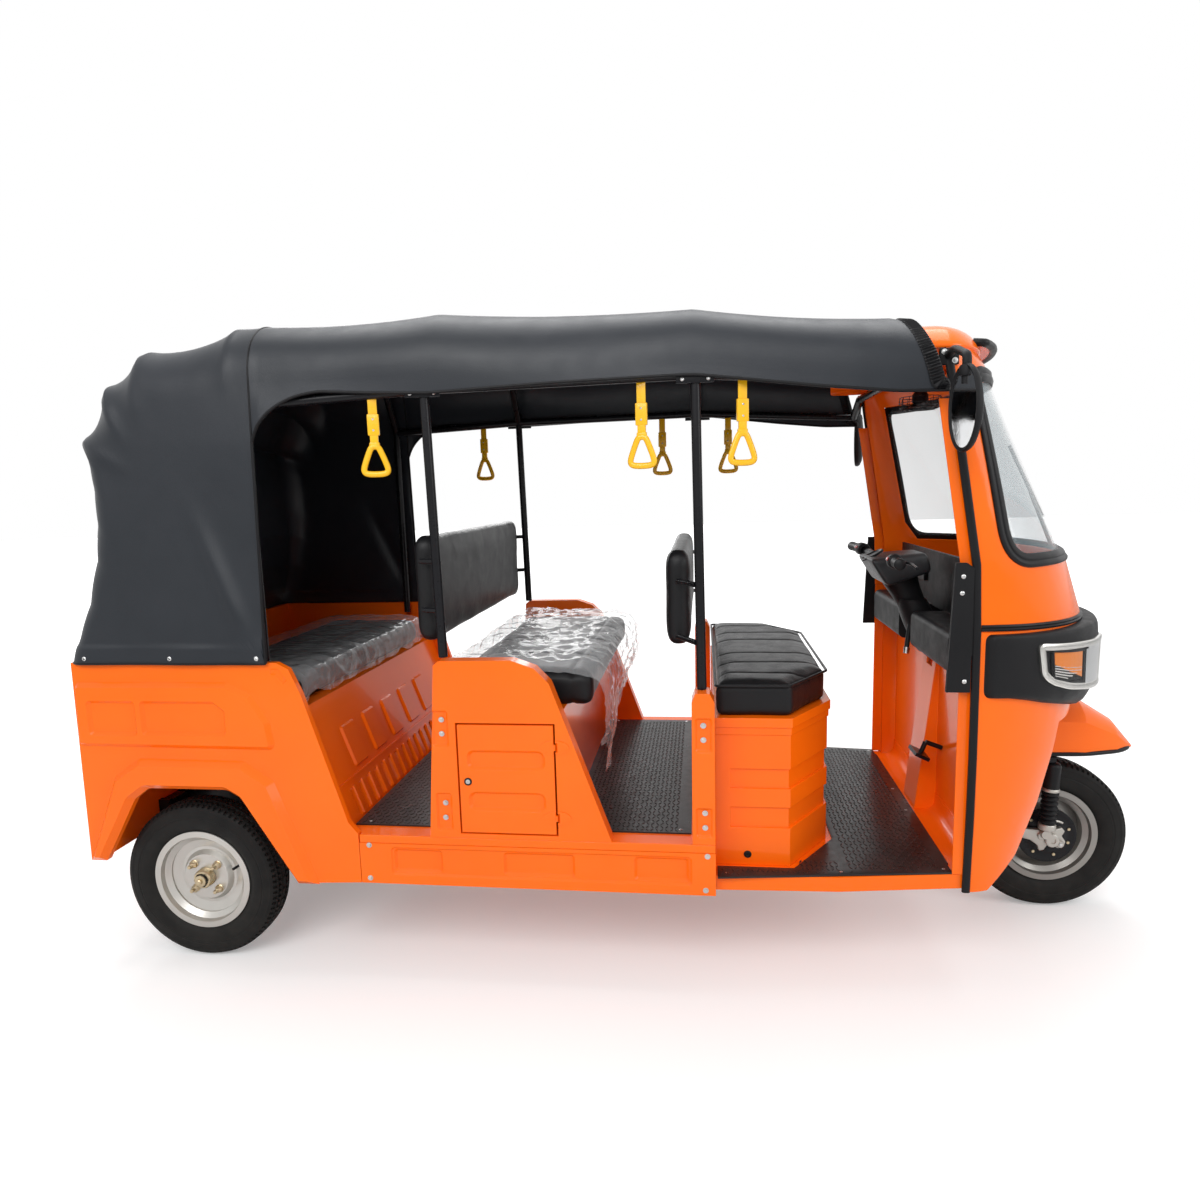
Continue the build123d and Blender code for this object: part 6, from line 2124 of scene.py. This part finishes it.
    def cuff(self, roof: list[list[Vector]]) -> Object:
        """The ribbed edge band round the hood's front.

        Args:
            roof: The roof's settled stations.

        Returns:
            The band.
        """
        edge_row, before = roof[-1], roof[-12]
        here = [p + (q - p).normalized() * 0.016 for p, q in zip(edge_row, before)]
        path, outward = [], []
        for i in range(3, len(here) - 3):
            step = here[i + 1] - here[i]
            count = max(1, round(step.length / 0.0042))
            out = (here[i + 1] - here[i - 1]).cross(before[i] - here[i]).normalized()
            if out.dot(here[i] - Vector((here[i].x, 0, 1.6))) < 0:
                out = -out
            for k in range(count):
                path.append(here[i] + step * (k / count))
                outward.append(out * (1.0 if len(path) % 2 else 0.62))
        edge = ((-0.019, -0.004), (-0.019, 0.0055), (-0.015, 0.0085), (0.015, 0.0085), (0.019, 0.0055),
                (0.019, -0.004))
        return finished(band("canopy_cuff", path, outward, edge, False), "canopy_cuff", TRIM_RUBBER,
                        smooth=25)


# ---- tyres --------------------------------------------------------------------------------------
@dataclass
class Tyre:
    """A ribbed road tyre: carcass, moulded rims and a grooved tread with cut shoulders."""

    node: str
    body: Body
    centre: Point
    radius: float = WHEEL_Z
    half: float = 0.056
    seat: float = 0.1545
    flange: float = 0.1715
    bead: float = 0.0392
    groove: float = 0.006
    sipes: int = 84

    def profile(self) -> list[Pair]:
        """The outer half outline from bead to bead, grooves in.

        Returns:
            Points of (along the axle, radius).
        """
        top, half = self.radius, self.half
        side = [(self.bead, self.seat), (self.bead + 0.0015, self.flange + 0.002),
                (half - 0.007, self.flange + 0.012), (half - 0.0025, self.flange + 0.022),
                (half - 0.0004, self.flange + 0.036), (half, self.flange + 0.047),
                (half - 0.001, self.flange + 0.0485), (half - 0.001, self.flange + 0.052),
                (half, self.flange + 0.0535), (half - 0.001, self.flange + 0.066),
                (half - 0.003, top - 0.026), (half - 0.0025, top - 0.0225), (half - 0.006, top - 0.013),
                (half - 0.010, top - 0.008)]
        tread = []
        for middle in (0.031, 0.011):
            edge = top - 0.005 * (middle / 0.05) ** 2
            tread += [(middle + 0.0032, edge), (middle + 0.0018, edge - self.groove),
                      (middle - 0.0018, edge - self.groove), (middle - 0.0032, edge)]
        outer = side + tread
        return outer + [(-a, r) for a, r in reversed(outer)]

    def build(self) -> None:
        """Spins the carcass, cuts the tread and closes the inside."""
        outer = self.profile()
        wall = 0.011
        inner = [(-self.bead + wall, self.seat), (-self.bead + wall, self.flange + 0.004),
                 (-self.half + wall, self.flange + 0.04), (-self.half + 0.02, self.radius - 0.02),
                 (self.half - 0.02, self.radius - 0.02), (self.half - wall, self.flange + 0.04),
                 (self.bead - wall, self.flange + 0.004), (self.bead - wall, self.seat)]
        tyre = spun(self.node + "_moulded", outer + inner, self.centre, (0, 1, 0), self.sipes * 2, ring=True)
        self.cut(tyre, 0.0195, 0.0095, 0.004, 2)
        self.cut(tyre, 0.0415, 0.0095, 0.005, 2)
        self.cut(tyre, 0.0, 0.007, 0.003, 4)
        finished(tyre, self.node + "_moulded", RUBBER, self.body, (self.node,), smooth=28)

    def cut(self, tyre: Object, middle: float, reach: float, depth: float, every: int) -> None:
        """Sinks every so many faces of one tread rib.

        Args:
            tyre: The spun carcass.
            middle: Distance of the rib from the tyre's middle.
            reach: Half the rib's width.
            depth: How deep the cuts go.
            every: One cut in this many facets.
        """
        cx, cy, cz = self.centre
        pitch = 2 * math.pi / (self.sipes * 2)
        with editing(tyre, "FACE") as form:
            for face in form.faces:
                mid = face.calc_center_median()
                y = mid.y - cy
                radius = math.hypot(mid.x - cx, mid.z - cz)
                turn = int((math.atan2(mid.z - cz, mid.x - cx) + math.pi + 1e-6) / pitch)
                phase = 0 if y < 0 else every // 2
                inside = abs(abs(y) - middle) < reach and radius > self.radius - 0.0115
                if inside and (turn + phase) % every == 0 and face.calc_area() > 2e-5:
                    face.select = True
            bmesh.update_edit_mesh(tyre.data)
            bpy.ops.mesh.inset(thickness=0.0022, depth=-depth, use_individual=True)


# ---- seats --------------------------------------------------------------------------------------
@dataclass
class Pad:
    """A padded vinyl seat or back, swollen from its solid, with sewn channels."""

    name: str
    nodes: tuple[str, ...]
    low: Point
    high: Point
    seams: tuple[tuple[str, float], ...] = ()
    plan: tuple[Pair, ...] = ()
    voxel: float = 0.011
    swell: float = 0.012
    channel: float = 0.006
    fill: float = 0.8
    round_m: float = 0.022
    turned: float = 0.0

    def block(self) -> Object:
        """The pad's closed starting form, a little small, from its plan.

        Returns:
            The form with its rolled corners.
        """
        inset = self.swell * 0.55
        (x0, y0, z0), (x1, y1, z1) = self.low, self.high
        x0, y0, x1, y1, z1 = x0 + inset, y0 + inset, x1 - inset, y1 - inset, z1 - inset
        plan = self.plan or ((x0, y0), (x1, y0), (x1, y1), (x0, y1))
        count = len(plan)
        verts = [(x, y, z0) for x, y in plan] + [(x, y, z1) for x, y in plan]
        faces = [list(range(count))[::-1], [count + i for i in range(count)]]
        faces += [[i, (i + 1) % count, count + (i + 1) % count, count + i] for i in range(count)]
        pad = merged(meshed(self.name, verts, faces), outwards=True)
        if self.turned:
            with editing(pad, "EDGE") as form:
                for edge in form.edges:
                    run = edge.verts[1].co - edge.verts[0].co
                    edge.select = abs(run.x) > 0.9 * run.length
                bmesh.update_edit_mesh(pad.data)
                bpy.ops.mesh.bevel(offset=self.turned, segments=6)
        return modified(pad, "BEVEL", width=self.round_m, segments=4, limit_method="ANGLE",
                        angle_limit=math.radians(50))

    def build(self) -> Object:
        """Swells the pad, sews it and dresses it.

        Returns:
            The finished pad.
        """
        pad = self.block()
        modified(pad, "REMESH", mode="VOXEL", voxel_size=self.voxel)
        start = [v.co.copy() for v in pad.data.vertices]
        self.inflate(pad)
        for vertex, rest in zip(pad.data.vertices, start):
            move = vertex.co - rest
            if move.length > self.swell:
                vertex.co = rest + move.normalized() * self.swell
        modified(pad, "CORRECTIVE_SMOOTH", iterations=4, smooth_type="SIMPLE", factor=0.5)
        modified(pad, "SUBSURF", levels=1, render_levels=1)
        self.sew(pad)
        self.rest(pad)
        finished(pad, self.name, SEAT, replaces=self.nodes, smooth=60)
        return pad

    def inflate(self, pad: Object) -> None:
        """Swells the pad with pressed cloth and applies the result.

        Args:
            pad: The pad.
        """
        only(pad)
        cloth = pad.modifiers.new("swell", "CLOTH")
        cloth.settings.use_pressure = True
        cloth.settings.uniform_pressure_force = 4.0
        cloth.settings.effector_weights.gravity = 0.0
        cloth.settings.quality = 3
        cloth.point_cache.frame_start, cloth.point_cache.frame_end = 1, SWELL_FRAMES
        scene = bpy.context.scene
        for step in range(1, SWELL_FRAMES + 1):
            scene.frame_set(step)
        bpy.ops.object.modifier_apply(modifier=cloth.name)
        scene.frame_set(1)

    def sew(self, pad: Object) -> None:
        """Presses the sewn channels into the pad after it has swollen.

        Args:
            pad: The pad.
        """
        pad.data.update()
        normals = [v.normal.copy() for v in pad.data.vertices]
        for vertex, normal in zip(pad.data.vertices, normals):
            sink = 0.0
            for axis, place in self.seams:
                off = (vertex.co.x if axis == "x" else vertex.co.y if axis == "y" else vertex.co.z) - place
                sink += math.exp(-(off / 0.0055) ** 2) + 0.35 * math.exp(-(off / 0.022) ** 2)
            facing = abs(normal.z) if self.high[2] - self.low[2] < 0.2 else abs(normal.x)
            pucker = 0.25 * noise.noise(vertex.co * 60)
            vertex.co -= normal * (self.channel * min(1.3, sink) * facing * (1 + pucker))
            vertex.co += normal * 0.0016 * noise.noise(vertex.co * 9 + Vector((3, 1, 7)))

    def rest(self, pad: Object) -> None:
        """Keeps the pad inside its solid's space and flat underneath.

        Args:
            pad: The pad.
        """
        for vertex in pad.data.vertices:
            for axis in range(3):
                slack = 0.0 if axis == 2 else 0.004
                low, high = self.low[axis] - slack, self.high[axis] + (0.006 if axis == 2 else slack)
                vertex.co[axis] = min(high, max(low, vertex.co[axis]))


@dataclass
class FilmCover:
    """Crumpled clear packing film laid over a cushion and hanging down in front."""

    name: str
    path: tuple[Pair, ...]
    half: float
    crumple: float
    flat: Pair
    rests_on: str
    seed: float
    edge_at: float = 9.0
    shortest: float = 1.0
    tail_y: float = -0.40
    cut_area: float | None = None

    def build(self) -> None:
        """Makes the film along its path, crumpled off the cushion."""
        fine = [Vector((x + AXLE_X, 0, z)) for x, z in self.path]
        lengths = [0.0]
        for a, b in zip(fine, fine[1:]):
            lengths.append(lengths[-1] + (b - a).length)
        count, across = 90, 150
        rows = []
        for i in range(count + 1):
            goal = lengths[-1] * i / count
            k = max(n for n in range(len(lengths) - 1) if lengths[n] <= goal + 1e-9)
            t = (goal - lengths[k]) / (lengths[k + 1] - lengths[k])
            base = fine[k].lerp(fine[k + 1], t)
            over = max(0.0, goal - self.edge_at)
            way = (fine[k + 1] - fine[k]).normalized()
            out = Vector((-way.z, 0, way.x))
            out = out if out.z > -0.3 else -out
            row = []
            for j in range(across + 1):
                y = self.half * (2 * j / across - 1)
                spot = Vector((goal * 9, y * 9, self.seed))
                fold = 1 - abs(noise.noise(spot)) * 2
                fold += 0.55 * (1 - 2 * abs(noise.noise(spot * 2.3 + Vector((1, 2, 3)))))
                fold += 0.3 * (1 - 2 * abs(noise.noise(spot * 5.1 + Vector((7, 5, 3)))))
                edge = ease((self.half - abs(y)) / 0.05)
                hang = ease((i / count - 0.7) / 0.3)
                lift = self.crumple * (0.25 + 0.38 * fold) * (0.4 + 0.6 * edge) + 0.002
                slide = 0.012 * noise.noise(spot * 0.6 + Vector((0, 0, 4)))
                ruffle = hang * 0.05 * noise.noise(Vector((y * 7, 0, self.seed + 3)))
                tail = math.exp(-((y - self.tail_y) / 0.13) ** 2)
                ragged = 0.10 * noise.noise(Vector((y * 6, 3, 1)))
                short = over * (1 - self.shortest - (1 - self.shortest) * tail - ragged)
                gather = 0.0
                if self.shortest < 1:
                    gather = -0.5 * (y - self.tail_y) * tail * ease((over - 0.12) / 0.2)
                row.append(base + out * lift + way * (slide + ruffle) - way * short
                           + Vector((0, y + slide + gather, -0.02 * (1 - edge))))
            rows.append(row)
        film = grid(self.name, rows)
        finished(film, self.name, FILM, smooth=180)
        area = sum(face.area for face in film.data.polygons)
        LOG.info("%s film is %.3f m2", self.name, area)


def seats() -> None:
    """Every cushion and back, and the film that two of them still wear."""
    x = AXLE_X
    Pad("rear_cushion_pad", ("rear_seat_cushion",), (x - 0.05, -0.56, 0.867), (x + 0.39, 0.56, 0.969),
        seams=tuple(("y", -0.48 + 0.08 * i) for i in range(13)), round_m=0.03).build()
    Pad("middle_cushion_pad", ("middle_seat_cushion",), (x + 0.870, -0.56, 0.869), (x + 1.350, 0.56, 0.979),
        seams=(("x", x + 0.95), ("x", x + 1.27), ("y", 0.0), ("y", -0.28), ("y", 0.28)), round_m=0.03).build()
    step = x + 1.706
    plan = ((step + 0.001, -0.545), (x + 1.933, -0.545), (x + 2.072, -0.335), (x + 2.072, 0.335),
            (x + 1.933, 0.545), (step + 0.001, 0.545))
    Pad("driver_cushion_pad", ("driver_seat_cushion",), (step - 0.007, -0.553, 0.8385),
        (x + 2.080, 0.553, 0.9435), seams=tuple(("y", y) for y in (-0.42, -0.27, -0.12, 0.12, 0.27, 0.42)),
        plan=plan, round_m=0.014, channel=0.004).build()
    edge = [(a - 0.004 * (1 if a > x + 1.8 else -1), b * 0.992, 0.9335) for a, b in plan]
    corners = []
    for before, here, after in zip(edge[-1:] + edge[:-1], edge, edge[1:] + edge[:1]):
        a, b, c = Vector(before), Vector(here), Vector(after)
        corners += [b + (a - b).normalized() * 0.02, b, b + (c - b).normalized() * 0.02]
    welt = tube("driver_cushion_welt", corners, 0.0042, closed=True)
    finished(welt, "driver_cushion_welt", SEAT, smooth=60)
    for name, at_x, half, low, high in (("middle", x + 0.825, 0.575, 1.0695, 1.4145),
                                        ("driver", x + 1.600, 0.5, 1.04, 1.35)):
        Pad(name + "_back_pad", ("backrest_pads",), (at_x - 0.035, -half, low), (at_x + 0.035, half, high),
            round_m=0.022, channel=0.002, swell=0.008, turned=0.045).build()
    FilmCover("middle_film", ((0.872, 0.93), (0.876, 0.985), (0.92, 0.992), (1.10, 0.994), (1.30, 0.992),
                              (1.352, 0.975), (1.366, 0.93), (1.366, 0.86), (1.356, 0.76), (1.342, 0.66),
                              (1.338, 0.61)), 0.575, 0.030, (1.30, 1.06), "middle_cushion_pad", 2.0, 0.56,
              0.42, cut_area=1.07).build()
    FilmCover("rear_film", ((-0.03, 0.975), (0.0, 0.980), (0.20, 0.982), (0.36, 0.980), (0.396, 0.965),
                            (0.404, 0.92), (0.402, 0.882)), 0.568, 0.014, (1.20, 0.60), "rear_cushion_pad",
              11.0).build()


def main() -> None:
    """Builds the studio and dresses the vehicle, sub-assembly by sub-assembly."""
    logging.basicConfig(level=logging.INFO, format="%(message)s")
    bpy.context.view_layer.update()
    bpy.context.scene.view_settings.view_transform = "Standard"
    Studio().build()
    dress_nodes()
    for panel in PANELS:
        panel.build()
    Canopy().build()
    for node, body, x, y in (("rear_right_tyre", Body.REAR_RIGHT, AXLE_X, -TRACK_HALF),
                             ("rear_left_tyre", Body.REAR_LEFT, AXLE_X, TRACK_HALF),
                             ("front_tyre", Body.FRONT_WHEEL, AXLE_X + WHEELBASE, 0.0)):
        Tyre(node, body, (x, y, WHEEL_Z)).build()
    seats()
    Fasteners().build()
    mats()
    grab_handles()
    NoseTrim().build()
    for side in SIDES:
        DoorMirror(side).build()
        Headlamp(side).build()
    CabCap().build()
    Bezel().build()
    Controls().build()
    FrontFork().build()
    for side, body in zip(SIDES, (Body.REAR_RIGHT, Body.REAR_LEFT)):
        Hub(body, (AXLE_X, side * TRACK_HALF, WHEEL_Z), side).build()


if __name__ == "__main__":
    main()
